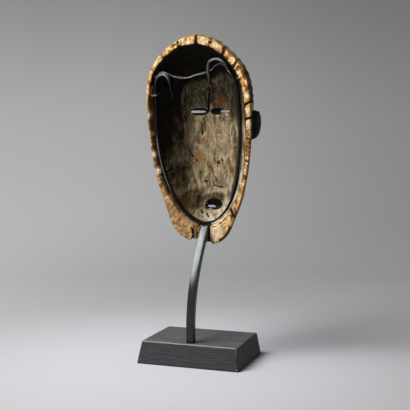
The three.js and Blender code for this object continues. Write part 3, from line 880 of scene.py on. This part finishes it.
def line_distance(x, y, route):
    """The distance of places from a broken line across the mask."""
    best = np.full(len(x), 1e9)
    for (ax, ay), (bx, by) in zip(route, route[1:]):
        dx, dy = bx - ax, by - ay
        t = np.clip(((x - ax) * dx + (y - ay) * dy) / (dx * dx + dy * dy), 0, 1)
        best = np.minimum(best, np.hypot(x - ax - t * dx, y - ay - t * dy))
    return best


# Small dark knife marks and cracks in the hollow, and the cracks of the rim, each as a broken line.
HOLLOW_NICKS = (
    ((37, 104), (31, 100)), ((-19, 96), (-21, 92)), ((-11, 91), (-17, 93)), ((-12, 88), (-15, 89)),
    ((8, 58), (13, 56)), ((10, 54), (12, 59)), ((-4, 50), (-19, 47.7)), ((8, 209), (5, 203), (6, 194)),
    ((10, 166), (11, 156)), ((14, 147), (14, 139)), ((42, 218), (43, 181)), ((29, 96), (25, 92)),
    ((3, 84), (6, 80)), ((-7, 64), (-9, 61)), ((22, 74), (20, 71)),
)
CENTRE_GROOVE = ((-1.9, 216), (-0.6, 198), (0.8, 180))
LOWER_LID = ((-3, 171), (-19, 169.6), (-33, 171.2))
CHIN_MARKS = (
    ((19, 10), (15, 4)), ((9, 4), (4, -2)), ((13, 12), (9, 9)), ((-3, 13), (-7, 16)), ((24, 14), (21, 16)),
)
LOBE_CRACKS = (((-16.3, -9), (-26, -6), (-36, 1), (-43, 9)), ((19, -34), (17.5, -20), (20, -12)))
FACE_CRACKS = (((34, 300), (31, 270), (33, 246), (30, 226)), ((-12, -36), (-10, -14), (-13, 2)))

# The hollow's stains, some of them painted shade, and the rim's fresh chips, each with its strength, place and
# spread.
DIRT_AND_SHADE = ((1, 34, 27, 21, 24), (0.55, -44, 120, 8, 70), (0.5, 12, 152, 8, 16), (0.45, 22, 128, 22, 12),
        (0.9, 50, 58, 15, 24))
UMBER = ((1, -9, 180, 4.5, 34), (0.75, -41, 180, 6, 40), (0.6, -19, 197, 14, 22))
GREY = ((1, -30, 152, 8, 16), (0.8, -24, 112, 20, 20))
RUST = ((1, -18, 195, 13, 15), (1, 22, 101, 16, 17), (0.95, 5, 86, 10, 10), (1, 43, 25, 9, 11),
        (0.7, 12, 128, 18, 20), (0.75, 11, 57, 4, 4), (0.6, -38, 90, 6, 40), (0.7, -16, 91, 6, 4),
        (0.6, 60, 64, 8, 16))
CHIPS = ((1, 60, 266, 4, 4), (1, 83, 178.5, 5, 5), (1, 80.5, 147.4, 3, 3), (1, 79.5, 113, 4.5, 4.5),
         (1, 74, 85, 4.5, 4.5), (1, -87, 162, 7, 7), (1, -84, 208, 4, 4), (1, -88, 184, 4, 4),
         (1, 70, 160, 2.5, 2.5), (1, 11, 292, 6, 6), (1, -12, 294, 7, 7), (1, -36, 288, 5, 5))


def rim_marks(points, x, y, z):
    """How deep inside the outer edge of the rim a place lies, and the hewn streaks that cross the rim there."""
    edge_distance = (1 - np.sqrt(np.maximum(0, egg_ratio(OUTSIDE, x, y)))) * np.where(y > 150, 100, 95)
    turn = np.arctan2(x, y - HOLLOW_CENTRE) * 110
    place = np.stack([turn, edge_distance, z * 0.4], axis=1)
    fine = lumps(place, (2.6, 13, 9), 141)
    wide = lumps(place, (7.5, 16, 12), 142)
    return edge_distance, 0.55 * fine + 0.75 * wide


def slot_marks(x, y):
    """Where the slots across the rim are, for the painted shade on their sides."""
    dark_and_shade = np.zeros(len(x))
    for sx, sy, width, depth in RIM_SLOTS:
        turn = math.atan2(sy - HOLLOW_CENTRE, sx)
        along = (x - sx) * math.cos(turn) + (y - sy) * math.sin(turn)
        across = -(x - sx) * math.sin(turn) + (y - sy) * math.cos(turn)
        near = smooth(width / 2 + 1.9, width / 2 + 0.3, np.abs(across)) * smooth(16, 13, np.abs(along))
        dark_and_shade = np.maximum(dark_and_shade, near * min(1, depth / 6) * (0.65 if sy > 240 else 1))
    return dark_and_shade


def surface_zones(x, y, z, normals):
    """Where the hollow, the rim and the outside are, from 0 to 1 at each of the mask's points."""
    nx, ny, nz = normals.T
    faces_out = smooth(-0.06, 0.06, nx * x / 90 + ny * (y - 130) / 180 + nz * z / 76)
    hollow_ratio = egg_ratio(HOLLOW, x - HOLLOW_SKEW * (y - HOLLOW_SKEW_HEIGHT), y)
    inside = (1 - faces_out) * smooth(1.07, 1.0, hollow_ratio) * smooth(66, 63, z)
    # The lobes are raw wood as far as the strip, and on the left it goes on over the hollow's edge.
    lobe_area = smooth(72, 50, y) * smooth(-8, 2, x) * smooth(15, 10, z)
    left_lip = smooth(14, 9, z) * smooth(50, 64, x) * smooth(20, 60, y) * smooth(236, 216, y)
    inside *= (1 - lobe_area) * (1 - left_lip)
    chamfer = (1 - faces_out) * (1 - inside) * smooth(15, 10, z)
    flat = smooth(-0.42, -0.72, nz) * smooth(9.5, 6.5, z) * (1 - inside)
    rim = np.maximum(flat, chamfer)
    return SimpleNamespace(
        faces_out=faces_out, hollow_ratio=hollow_ratio, inside=inside, chamfer=chamfer, rim=rim,
        lobe=smooth(118, 84, y) * smooth(10, 24, x) * rim,
        outer=(1 - inside) * (1 - rim) * smooth(10, 18, z),
        band=smooth(10, 2, z),
    )


def knife_marks(points, zone):
    """The dark nicks, the groove and ridge down the middle of the hollow, and the cracks of the rim and face."""
    x, y, z = points.T
    nicks, cracks = np.zeros(len(x)), np.zeros(len(x))
    for i, route in enumerate(HOLLOW_NICKS):
        wobble = 1.1 * lumps(points, (4, 4, 50), 71 + i)
        width = 1.25 + 0.7 * lumps(points, (3, 3, 50), 171 + i)
        distance = line_distance(x + wobble, y + wobble, route)
        nicks = np.maximum(nicks, smooth(width + 0.8, width - 0.5, distance) * zone.inside * smooth(50, 56, z))
    for route in CHIN_MARKS:
        mark = smooth(1.9, 0.8, line_distance(x, y, route)) * smooth(12, 20, z) * smooth(54, 46, z)
        nicks = np.maximum(nicks, mark * zone.inside)
    for i, route in enumerate(LOBE_CRACKS):
        wobble = 1.2 * lumps(points, (7, 7, 50), 91 + i)
        cracks = np.maximum(cracks, smooth(2.4, 0.8, line_distance(x + wobble, y + wobble, route)) * zone.band)
    for i, route in enumerate(FACE_CRACKS):
        wobble = 2.2 * lumps(points, (9, 14, 90), 96 + i)
        crack = smooth(1.5, 0.5, line_distance(x + wobble, y, route)) * (1 - zone.inside) * smooth(8, 20, z)
        cracks = np.maximum(cracks, crack)
    sway = 0.8 * lumps(points, (5, 14, 50), 88)
    groove = smooth(3.3, 1.7, line_distance(x + sway, y, CENTRE_GROOVE)) * zone.inside
    ridge = hump((x + 3.5 - 0.06 * (170 - y)) / 2.8, 0) * smooth(196, 184, y) * smooth(112, 140, y) * zone.inside
    return nicks, cracks, groove, ridge


def front_carving(x, y, z):
    """Fine grooves of carved hair above the hairline, and a rim round each lid and the lips."""
    side = np.abs(x)
    hairline = 258 - 0.0095 * side * side
    hair = 0.55 * smooth(0, 3, y - hairline) * np.cos(2 * math.pi * np.arctan2(x, y - 150) * 34 / math.pi)
    lid = np.hypot((side - EYE_FRONT) / 19.5, (y - EYE_HEIGHT) / 7.6)
    lip = np.hypot((x - LIPS_MIDDLE) / 20, (y - MOUTH_HEIGHT) / 9.5)
    return hair + 1.1 * np.exp(-(((lid - 1) / 0.16) ** 2)) + np.exp(-(((lip - 1) / 0.2) ** 2)) * smooth(60, 70, z)


def carve_surface(mesh):
    """Tool marks, wear and breaks over the whole mask, and the values that its finish reads."""
    points = mesh_points(mesh)
    normals = mesh_points(mesh, "normal")
    x, y, z = points.T
    zone = surface_zones(x, y, z, normals)
    inside, rim, lobe = zone.inside, zone.rim, zone.lobe
    edge_distance, hewn = rim_marks(points, x, y, z)
    nicks, cracks, groove, ridge = knife_marks(points, zone)

    tool = rough(points, (8, 34, 16), 11, 2)
    fibre = lumps(points, (2.6, 30, 5), 21)
    wide_dents = lumps(points, (24, 30, 24), 31)
    hacks = rough(points, (6.5, 5.5, 6.5), 41, 3)
    grit = lumps(points, (2.7, 2.7, 2.7), 51)
    lobe_grit = rough(points, (4, 4, 4), 61, 2)
    shift = inside * (0.6 * tool + 0.16 * fibre + 0.22 * grit)
    shift += (1 - inside) * (1 - rim) * (0.42 * wide_dents + 0.14 * grit + 0.12 * fibre)
    shift += rim * (1 - lobe) * (0.55 * hewn + 0.45 * hacks + 0.4 * grit)
    shift += lobe * (0.95 * lobe_grit + 0.5 * hacks)
    shift += 0.8 * ridge - 0.9 * groove - 0.9 * nicks - 1.9 * cracks
    shift += zone.outer * front_carving(x, y, z)

    # The rim's two edges are frayed sideways too.
    away = unit(np.stack([x, y - HOLLOW_CENTRE, np.zeros(len(x))], axis=1), 1)
    moved = points + normals * shift[:, None]
    fray = np.maximum(0, 0.3 + rough(moved, (6, 6, 6), 101, 2))
    outer_edge = rim * smooth(4.5, 1, edge_distance)
    inner_edge = zone.chamfer * smooth(4, 7, edge_distance) + inside * smooth(8, 2, z)
    moved += away * ((-1.1 * outer_edge + 0.8 * inner_edge * (1 - lobe)) * fray)[:, None]
    mesh.vertices.foreach_set("co", moved.ravel())

    write_marks(mesh, {
        "inside": inside,
        "chamfer": zone.chamfer,
        "hewn": 0.5 + 0.5 * hewn,
        "edge": smooth(2.6, 0.6, edge_distance),
        "crown": smooth(210, 236, y),
        "ridge": ridge,
        "lobe": lobe,
        "dark_and_shade": np.maximum.reduce([0.9 * nicks, cracks, groove, dark_and_shaded_places(x, y, z, zone, edge_distance)]),
        "proud": np.clip(face_relief(x, y) / 16, 0, 1) * zone.outer + 0.4 * smooth(90, 98, np.abs(x)),
        "weathered": smooth(24, 4, z) * (1 - inside),
        **hollow_stains(x, y, z, normals[:, 0], zone),
        **rim_wear(x, y, z, zone),
    })


def dark_and_shaded_places(x, y, z, zone, edge_distance):
    """Painted shade where no light comes, in the slots, the mouth's pocket, the eyes' corners and the notch; and
    the dark rotten knot and crumbled edge.
    """
    pocket = smooth(1.2, 0.95, np.hypot((x + 2.5) / 15.5, (y - 17.8) / 8.8)) * smooth(44, 48, z)
    pocket *= mix(0.3, 1, np.maximum(smooth(2, -6, x), smooth(19, 15, y)))
    right_eye = smooth(1.35, 0.95, np.hypot((x + 12.5) / 9.5, (y - 178) / 5.6))
    left_eye = smooth(1.35, 0.95, np.hypot((x - EYES[0] - 1) / 15.5, (y - 177.6) / 5.8))
    notch = smooth(-16, -13, x) * smooth(7, 4.5, x) * smooth(6, 4, y) * smooth(9, 13, z) * (1 - zone.inside)
    knot = hump((x + 53) / 5, (y - 10) / 5)
    crumbled = smooth(4, 1.5, edge_distance) * smooth(-2, -12, y) * smooth(-24, -30, x)
    return np.maximum.reduce([
        slot_marks(x, y) * smooth(0.6, 1.4, z), notch, zone.band * np.maximum(knot, 0.8 * crumbled),
        zone.inside * np.maximum.reduce([pocket, 0.9 * right_eye, 0.95 * left_eye]),
    ])


def strip_shadow(x, y, z):
    """The strip's shadow, painted as a dark line on the right wall beside it."""
    below = np.clip((LOOP_WIDEST - y - 0.13 * z) / (LOOP_WIDEST - LOOP_BOTTOM), 0, 1)
    strip_x = LOOP_MIDDLE - LOOP_SKEW * np.maximum(0, 110 - y) - LOOP_HALF_WIDTH * np.sqrt(1 - below**2.2)
    beside = x - strip_x - 0.31 * (z - LOOP_DEPTH)
    ends = smooth(20, 36, y) * smooth(250, 236, y) * smooth(-10, -25, x)
    return smooth(6.8, 4.4, beside) * smooth(-4.5, -3, beside) * ends


def hollow_stains(x, y, z, nx, zone):
    """The soot, dirt and stains of the hollow, with painted shade and painted light among them."""
    inside = zone.inside
    # Painted shade: the crown and the left wall, which faces away from the light, are darkened on top of the soot.
    left_wall = smooth(0.2, -0.45, nx) * smooth(20, 46, x) * smooth(30, 60, y)
    crown = smooth(216, 246, y + 0.12 * np.abs(x) - 13 * smooth(-6, -24, x))
    to_panel = mix(0.62, 1, np.maximum(smooth(48, 76, x), smooth(180, 208, y)))
    # Painted light: the right wall, which faces the light, and the chin's floor are paler.
    right_lit = smooth(-0.1, 0.5, nx) * smooth(-30, -45, x) * smooth(130, 90, y)
    floor = smooth(34, 8, y) * smooth(58, 40, z) * smooth(34, 18, x)
    pale_and_lit = 0.75 * right_lit + 0.4 * floor + 0.55 * smooth(110, 50, y) * smooth(24, 0, x)
    pale_and_lit *= 0.6 * (0.4 + 0.6 * smooth(54, 40, z) + 0.6 * smooth(60, 20, y))
    lower_lid = smooth(1.9, 0.8, line_distance(x, y, LOWER_LID)) * inside
    panel = smooth(50, 57, z)
    # Painted shade lies in the corner behind the strip, most of all on the right, and the strip's shadow is painted
    # on the wall beside it.
    corner = smooth(1.08, 1.02, zone.hollow_ratio) * smooth(60, 90, y) * smooth(264, 240, y)
    corner *= 0.8 * smooth(-10, -40, x) * (1 - inside) * (1 - zone.faces_out)
    mid_height = smooth(150, 120, y) * smooth(50, 80, y)
    shade_behind_strip = np.maximum.reduce([
        0.9 * hump((x + 51) / 5.5, 0) * smooth(43, 49, z) * smooth(140, 165, y) * smooth(246, 232, y),
        0.75 * smooth(25, 32, z) * smooth(52, 46, z) * smooth(-50, -57, x) * mid_height,
        0.96 * smooth(50, 42, z) * smooth(-22, -34, x) * smooth(0, 14, y) * smooth(86, 62, y),
        0.95 * strip_shadow(x, y, z),
    ])
    # Painted shade on the inner wall near the rim.
    shade = corner + 0.8 * inside * smooth(19, 9, z) * smooth(30, 60, y)
    return {
        "soot_and_shade": np.maximum(crown, left_wall * smooth(2, 12, z) * to_panel * mix(0.46, 1, smooth(70, 165, y))),
        "shade": np.maximum(shade, inside * shade_behind_strip),
        "pale_and_lit": np.maximum(pale_and_lit, lower_lid),
        "dirt_and_shade": np.maximum.reduce([
            # Painted shade high on the panel, on its left and above the mouth's pocket, among the dirt.
            0.95 * smooth(160, 202, y),
            0.75 * smooth(120, 190, y) * smooth(-26, -38, x),
            0.62 * smooth(14, 44, x) * smooth(30, 70, y),
            0.95 * hump((x + 1) / 24, (y - 29) / 11) * smooth(44, 50, z),
            0.42 * floor,
            spots(x, y, DIRT_AND_SHADE),
        ]),
        "rust": spots(x, y, RUST),
        "umber": spots(x, y, UMBER),
        "grey": spots(x, y, GREY),
        "blue": hump((x + 29) / 13, (y - 224) / 22) * panel,
        "olive": hump((x - 21) / 19, (y - 208) / 30) * panel,
    }


def rim_wear(x, y, z, zone):
    """Where the rim is raw, freshly chipped or browned, and where raw wood wraps round the outer edge. The leaf on
    the right lobe is brightened as painted light, and the brown is partly painted shade.
    """
    inside, rim, band = zone.inside, zone.rim, zone.band
    # Painted light: the leaf on the right lobe is brightened.
    lit_leaf = hump((x + 25) / 13, (y + 18) / 19, 2) * smooth(14, 4, z)
    lip_strip = smooth(3, 1, line_distance(x, y - 4.5, LOBE_CRACKS[0])) * band
    chips = np.clip(1.25 * spots(x, y, CHIPS) * band, 0, 1) * np.maximum(rim, smooth(4, 1, z))
    wrap = np.maximum.reduce([
        smooth(14, 9, z) * smooth(222, 232, y),
        0.99 * smooth(15, 10, z) * smooth(206, 192, y) * smooth(-40, -60, x),
        0.99 * smooth(5, 2.5, z) * smooth(190, 165, y),
    ])
    # Painted shade, as brown, on the left rim's inner side, above the leaf and on the stump by the stem.
    left = smooth(1.14, 1.08, zone.hollow_ratio) * smooth(40, 62, x) * smooth(24, 60, y) * smooth(226, 200, y) * rim
    above_leaf = 0.45 * hump((x + 40) / 13, (y + 1) / 8) * band
    stump = smooth(19, 17, x) * smooth(2, 4, x) * smooth(2, -6, y) * (0.7 + 0.4 * smooth(-12, -22, y)) * band
    outermost = band * (1 - inside) * smooth(0.93, 0.98, egg_ratio(OUTSIDE, x, y)) * smooth(4.5, 1.5, z)
    return {
        "rim": np.maximum(rim, outermost),
        "fresh_and_lit": chips + 0.9 * np.maximum(lit_leaf, lip_strip),
        "wrap": wrap * (1 - inside) * (1 - rim),
        "brown_and_shade": np.maximum.reduce([left, above_leaf, stump]),
    }


def mesh_mark(mesh, name):
    values = np.zeros(len(mesh.vertices), np.float32)
    mesh.attributes[name].data.foreach_get("value", values)
    return values


def thinned(body, kept):
    """The body's mesh with this share of its faces, fewer on its outside than in the hollow and on the rim."""
    plain = np.flatnonzero(np.maximum(mesh_mark(body.data, "inside"), mesh_mark(body.data, "rim")) < 0.1)
    body.vertex_groups.new(name="plain").add(plain.tolist(), 1, "REPLACE")
    step = body.modifiers.new("thin_out", "DECIMATE")
    step.ratio = kept
    step.vertex_group = "plain"
    step.vertex_group_factor = 10
    return settled(body)


def make_mask():
    spokes, rings = ((300, 120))
    outside = carve_face(bowl_rings(OUTSIDE, OUTSIDE_CENTRE, OUTSIDE_DEPTH, OUTSIDE_WALL, spokes, rings,
                                    -OUTER_WEAR, -OUTER_WEAR, OUTER_WEAR))
    inside = shape_hollow(bowl_rings(HOLLOW, HOLLOW_CENTRE, HOLLOW_DEPTH, HOLLOW_WALL, spokes, rings // 2,
                                     EDGE_SLOPE_SIDE, EDGE_SLOPE_END, EDGE_SLOPE_DEPTH))
    body = new_object("shell", *shell_body(outside, inside))
    bevel_end = PANEL_DEPTH + 3
    cutters = []
    for bevel_middle, (middle, *slit) in zip(EYES, EYE_SLITS):
        cutters.append(oval_cutter(bevel_middle, EYE_HEIGHT, EYE_BEVEL, 50, bevel_end))
        cutters.append(oval_cutter(middle, EYE_HEIGHT, slit, 56, 110, math.copysign(EYE_SLANT, middle), 0.5))
    cutters.append(oval_cutter(*MOUTH_POCKET_PLACE, MOUTH_POCKET, 46, bevel_end + 4))
    cutters.append(oval_cutter(MOUTH_MIDDLE, MOUTH_HEIGHT, MOUTH_SLIT, 44, 110, 0, 0.6))
    cutters.append(notch_cutter())
    cutters += [plug(np.array(corners), -5, 35) for corners in LOBE_CORNERS]
    cutters += [wire_hole_cutter(1, 241, 8), wire_hole_cutter(-1, 234, 8.5)]
    for x, y, width, depth in RIM_SLOTS:
        cutters.append(block_cutter(x, y, SLOT_LENGTH, width, depth, math.atan2(y - HOLLOW_CENTRE, x)))
    cutters += [bite_cutter(*bite) for bite in RIM_BITES]
    cut_solid(body, cutters)
    shell = (mesh_points(body.data), [tuple(face.vertices) for face in body.data.polygons])
    bpy.data.objects.remove(body)
    mask = new_object("carved_mask", *joined([shell, ear_body(1), ear_body(-1)]))
    grid = mask.modifiers.new("grid", "REMESH")
    grid.mode = "VOXEL"
    grid.voxel_size = MASK_GRID
    mesh = settled(mask)
    carve_surface(mesh)
    mesh = thinned(mask, MASK_KEPT)
    mesh.transform(MASK_FRAME @ Matrix.Scale(MM, 4))
    mesh.shade_smooth()
    mesh.materials.clear()
    mesh.materials.append(finishes["wood"])
    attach(mask, "root")
    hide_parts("mask")


make_mask()


def loop_depth(y):
    """How deep inside the rim the middle of the cradle's strip lies."""
    low = np.clip((150 - y) / (150 - LOOP_BOTTOM), 0, 1)
    return mix(LOOP_DEPTH, LOOP_BOTTOM_DEPTH, low**1.5)


def loop_side(side, top, steps):
    """The half of the loop on one side, from its bottom up to a height."""
    places = []
    for i in range(1, steps + 1):
        angle = math.pi / 2 * i / steps
        y = mix(LOOP_WIDEST, LOOP_BOTTOM, max(0, math.cos(angle)) ** (2 / 2.2))
        middle = LOOP_MIDDLE + LOOP_SKEW * min(0, y - 110)
        places.append((middle + side * LOOP_HALF_WIDTH * math.sin(angle), y))
    places.append((LOOP_MIDDLE + side * (LOOP_HALF_WIDTH - 1.5), top))
    return places


def make_cradle():
    bottom = (LOOP_MIDDLE + LOOP_SKEW * (LOOP_BOTTOM - 110), LOOP_BOTTOM)
    places = [*LEFT_HOOK, *reversed(loop_side(1, 206, 9)), bottom, *loop_side(-1, 200, 9), *RIGHT_HOOK]
    path = through([(x, y, loop_depth(y)) for x, y in places], 360)
    section = rounded_section(STRIP_DEPTH, STRIP_THICKNESS)
    points, faces = swept(path, section, (0, 0, 1))
    wave = np.stack([points[:, 0], points[:, 1], np.zeros(len(points))], axis=1)
    points = points + 0.12 * lumps(wave, (9, 9, 9), 7)[:, None] * np.array([1, 1, 0.4])
    cradle = new_piece("cradle_strip", from_mask_frame(points), faces, finishes["strip"])
    # The paint is rubbed thin on the hooks, and their tops are lighter still as a painted highlight. A painted
    # highlight runs along the outer edge low on the left.
    x, y, z = points.T
    worn_and_lit_tops = spots(x, y, ((0.7, 56, 244, 9, 5), (0.7, -36, 267, 12, 5)))
    edge = smooth(loop_depth(y) - 3, loop_depth(y) - 4, z)
    edge *= smooth(40, 52, x) * smooth(40, 60, y) * smooth(150, 128, y)
    outer_half = np.resize(np.array(section)[:, 1] < 0, len(points))
    rubbed = np.maximum(0.28 * smooth(226, 244, y) * smooth(-56, -44, x) + worn_and_lit_tops, 0.6 * edge * outer_half)
    write_marks(cradle.data, {"rubbed": rubbed})
    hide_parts("cradle")


make_cradle()


def make_stem():
    rise = np.linspace(STEM_BEND_START, STEM_TOP_Z, 90)
    bend = (STEM_TOP_Y - STEM_BACK) / (STEM_TOP_Z - STEM_BEND_START) ** 2
    path = [(0, STEM_BACK, z) for z in np.linspace(BASE_HEIGHT, STEM_BEND_START, 8)[:-1]]
    path += [(0, STEM_BACK + bend * (z - STEM_BEND_START) ** 2, z) for z in rise]
    section = rounded_section(STEM_SIZE, STEM_SIZE)
    points, faces = swept(path, section, (1, 0, 0))
    # The bar's top is cut off level with the underside of the strip.
    local = np.c_[points * MM, np.ones(len(points))] @ np.array(MASK_FRAME.inverted()).T / MM
    local[:, 1] = np.minimum(local[:, 1], LOOP_BOTTOM - STRIP_THICKNESS / 2 - STEM_GAP)
    points = from_mask_frame(local[:, :3])
    stem = new_piece("stem_bar", points, faces, finishes["bar"])
    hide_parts("stem")


make_stem()


def make_weld():
    """The bead where the stem is welded under the cradle's strip."""
    rings = []
    middle = LOOP_MIDDLE + LOOP_SKEW * (LOOP_BOTTOM - 110)
    corner = rounded_section(STEM_SIZE + 1.6, STRIP_DEPTH + 1.4, 2.4, 8)
    for height, grow in ((-3.4, 0.86), (-2.8, 0.98), (-1.9, 1.04), (-0.9, 1.0), (-0.2, 0.88)):
        ring = []
        for i, (x, z) in enumerate(corner):
            bead = grow * (1 + 0.05 * math.sin(i * GOLDEN_TURN))
            ring.append((middle - 2 + x * bead, LOOP_BOTTOM - 1.6 + height, LOOP_BOTTOM_DEPTH + z * bead))
        rings.append(ring)
    points, faces = ring_body(np.array(rings)[::-1])
    new_piece("weld_bead", from_mask_frame(points), faces, finishes["bar"])


make_weld()


def rounded_block(size, radius, step):
    """Points and faces of a block with rounded edges, as a fine even grid."""
    half = np.array(size) / 2
    points, faces, known = [], [], {}

    def corner(key, place):
        if key not in known:
            known[key] = len(points)
            points.append(place)
        return known[key]

    counts = [max(2, round(length / step)) for length in size]
    lines = []
    for axis in range(3):
        even = np.linspace(-1, 1, counts[axis] + 1)
        lines.append(even * half[axis])
    for axis in range(3):
        u, v = (axis + 1) % 3, (axis + 2) % 3
        for end in (0, counts[axis]):
            for i in range(counts[u]):
                for j in range(counts[v]):
                    quad = []
                    for di, dj in ((0, 0), (1, 0), (1, 1), (0, 1)):
                        key = [0, 0, 0]
                        key[axis], key[u], key[v] = end, i + di, j + dj
                        quad.append(corner(tuple(key), [lines[a][key[a]] for a in range(3)]))
                    faces.append(quad if end else quad[::-1])
    points = np.array(points)
    inner = np.clip(points, radius - half, half - radius)
    away = points - inner
    reach = np.linalg.norm(away, axis=1, keepdims=True)
    return inner + away / np.maximum(reach, 1e-9) * radius, faces


def make_base():
    size = (BASE_WIDTH, BASE_DEPTH, BASE_HEIGHT)
    points, faces = rounded_block(size, 1.3, 1.6)
    half = np.array(size) / 2
    height = (points[:, 2] + half[2]) / size[2]
    shrink = 1 - np.array([BASE_INSET / half[0], BASE_INSET / half[1], 0]) * height[:, None]
    points = points * shrink + (0, 0, half[2])
    reach = half - np.abs(points - (0, 0, half[2])) / shrink
    gap = np.sort(reach, axis=1)[:, 1]
    edge = smooth(3.2, 0.4, gap)
    dents = rough(points, (16, 16, 9), 5, 3)
    grain = lumps(points, (70, 3.2, 1.9), 9)
    toward = unit(points - (0, 0, half[2]))
    bottom = smooth(1.5, 4, points[:, 2])
    move = -(0.5 * edge * np.maximum(0, dents) + 0.1 * np.abs(grain) + 0.12 * np.abs(dents)) * bottom
    points = points + toward * move[:, None]
    base = new_piece("base_block", points * MM, faces, finishes["base"])
    # The top is marked for its painted sheen.
    top = smooth(BASE_HEIGHT - 1.6, BASE_HEIGHT - 0.5, points[:, 2])
    knocks = ((16, 60, 37), (46, 60, 37), (-74, 60, 37), (-83, 66, 4), (30, 60, 36.5))
    bare = np.maximum.reduce([hump(np.linalg.norm(points - place, axis=1) / size, 0) for place, size in
                              zip(np.array(knocks), (2.2, 1.6, 1.6, 2.2, 1.2))])
    upper_back = smooth(0.5, 0.9, height) * smooth(0, 40, points[:, 1])
    write_marks(base.data, {"worn": edge * (0.45 + 0.4 * upper_back), "top": top, "bare": bare})
    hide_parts("base")


make_base()

# The tie's route: round the strip on the left and back to the wall of the mask.
TIE_ROUTE = ((79.2, 213, 8.6), (74.6, 212.8, 11.4), (70.2, 212.2, 9.8), (69, 211.4, 4.8), (70.2, 210.6, -0.2),
             (73.6, 210, -1.8), (79.4, 209.8, 0.4))
TIE_WIRE = 0.9


def make_side_tie():
    path = through(TIE_ROUTE, 60)
    twin = path + np.array([0, 1.1, 0])
    bodies = [swept(line, round_section(TIE_WIRE), (0.05, 1, 0.02)) for line in (path, twin)]
    tail = through([(79.4, 209.8, 0.4), (80.2, 210.6, -1), (79, 212, -2), (77.6, 212.6, -2.4)], 24)
    bodies.append(swept(tail, round_section(TIE_WIRE), (0.05, 1, 0.02)))
    points, faces = joined(bodies)
    tie = new_piece("side_tie_wire", from_mask_frame(points), faces, finishes["wire"])
    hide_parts("side_tie")


make_side_tie()


# The pale paper that the object stands on. It rises to a wall all round, out of reach.
PAPER_FLOOR = 1.0
PAPER_BEND = 1.25
PAPER_TOP = 4.2
# The wall is a little darker high up, and to the right of the photograph.
PHOTO_RIGHT = (-0.943, -0.332, 0)


def studio_paper():
    paper = Finish("studio_paper", specular=0.1)
    away = paper.node("ShaderNodeVectorMath", {"operation": "LENGTH"}, {0: paper.place}, "Value")
    sideways = {0: paper.place, 1: PHOTO_RIGHT}
    right = paper.node("ShaderNodeVectorMath", {"operation": "DOT_PRODUCT"}, sideways, "Value")
    shade = paper.rise(-0.45, 0.95, right) * paper.rise(0.5, 1.6, away)
    high = paper.rise(350, 1150, paper.along(2))
    # Painted light and shade: the paper darkens a little way out from the mask, lightens again far out, and darkens
    # to the right and high up.
    tone = paper.coats(
        paper.tones(0.1, 0.55, away, (0.46, 0.465, 0.485, 1), (0.345, 0.348, 0.353, 1)),
        (paper.rise(0.5, 1.7, away), (0.5, 0.503, 0.5, 1)),
        (shade * 0.5, (0.12, 0.122, 0.125, 1)),
        (high * 0.42, (0.1, 0.1, 0.105, 1)),
    )
    fibres = paper.noise((400, 400, 400), 2)
    return paper.finish_with(tone, 0.92 + 0.04 * fibres, fibres, 0.1, 0.02)


def make_floor():
    profile = [(0.12 * PAPER_FLOOR * 1.3**i, 0.0) for i in range(8)] + [(PAPER_FLOOR, 0.0)]
    profile += [(PAPER_FLOOR + PAPER_BEND * math.sin(a), PAPER_BEND * (1 - math.cos(a)))
                for a in np.linspace(0.06, math.pi / 2, 20)]
    profile.append((PAPER_FLOOR + PAPER_BEND, PAPER_TOP))
    sides = 96
    points, faces = [(0.0, 0.0, 0.0)], []
    for radius, height in profile:
        for j in range(sides):
            turn = 2 * math.pi * j / sides
            points.append((radius * math.cos(turn), radius * math.sin(turn), height))
    for j in range(sides):
        k = (j + 1) % sides
        faces.append((0, 1 + j, 1 + k))
        for i in range(len(profile) - 1):
            low, high = 1 + i * sides, 1 + (i + 1) * sides
            faces.append((low + j, high + j, high + k, low + k))
    floor = new_object("studio_floor", points, faces)
    floor.data.shade_smooth()
    floor.data.materials.append(studio_paper())


make_floor()


def softbox(name, azimuth, elevation, distance, size, watts):
    """A square light that looks at the mask. Azimuth is counted from +Y towards +X."""
    target = Vector((0, 0, 0.3))
    turn, tilt = math.radians(azimuth), math.radians(elevation)
    direction = Vector((math.sin(turn) * math.cos(tilt), math.cos(turn) * math.cos(tilt), math.sin(tilt)))
    lamp = bpy.data.lights.new(name, "AREA")
    lamp.shape = "SQUARE"
    lamp.size = size
    lamp.energy = watts
    light = bpy.data.objects.new(name, lamp)
    light.location = target + direction * distance
    light.rotation_euler = direction.to_track_quat("Z", "Y").to_euler()
    bpy.context.scene.collection.objects.link(light)


def make_lights():
    softbox("key_softbox", 43, 47, 1.9, 1.15, 62)
    softbox("top_softbox", 60, 70, 2.1, 0.8, 16)
    world = bpy.data.worlds.new("studio_air")
    world.use_nodes = True
    air = world.node_tree.nodes["Background"]
    air.inputs["Color"].default_value = (0.93, 0.96, 1.0, 1)
    air.inputs["Strength"].default_value = 0.05
    bpy.context.scene.world = world
    bpy.context.scene.view_settings.view_transform = "Standard"


make_lights()
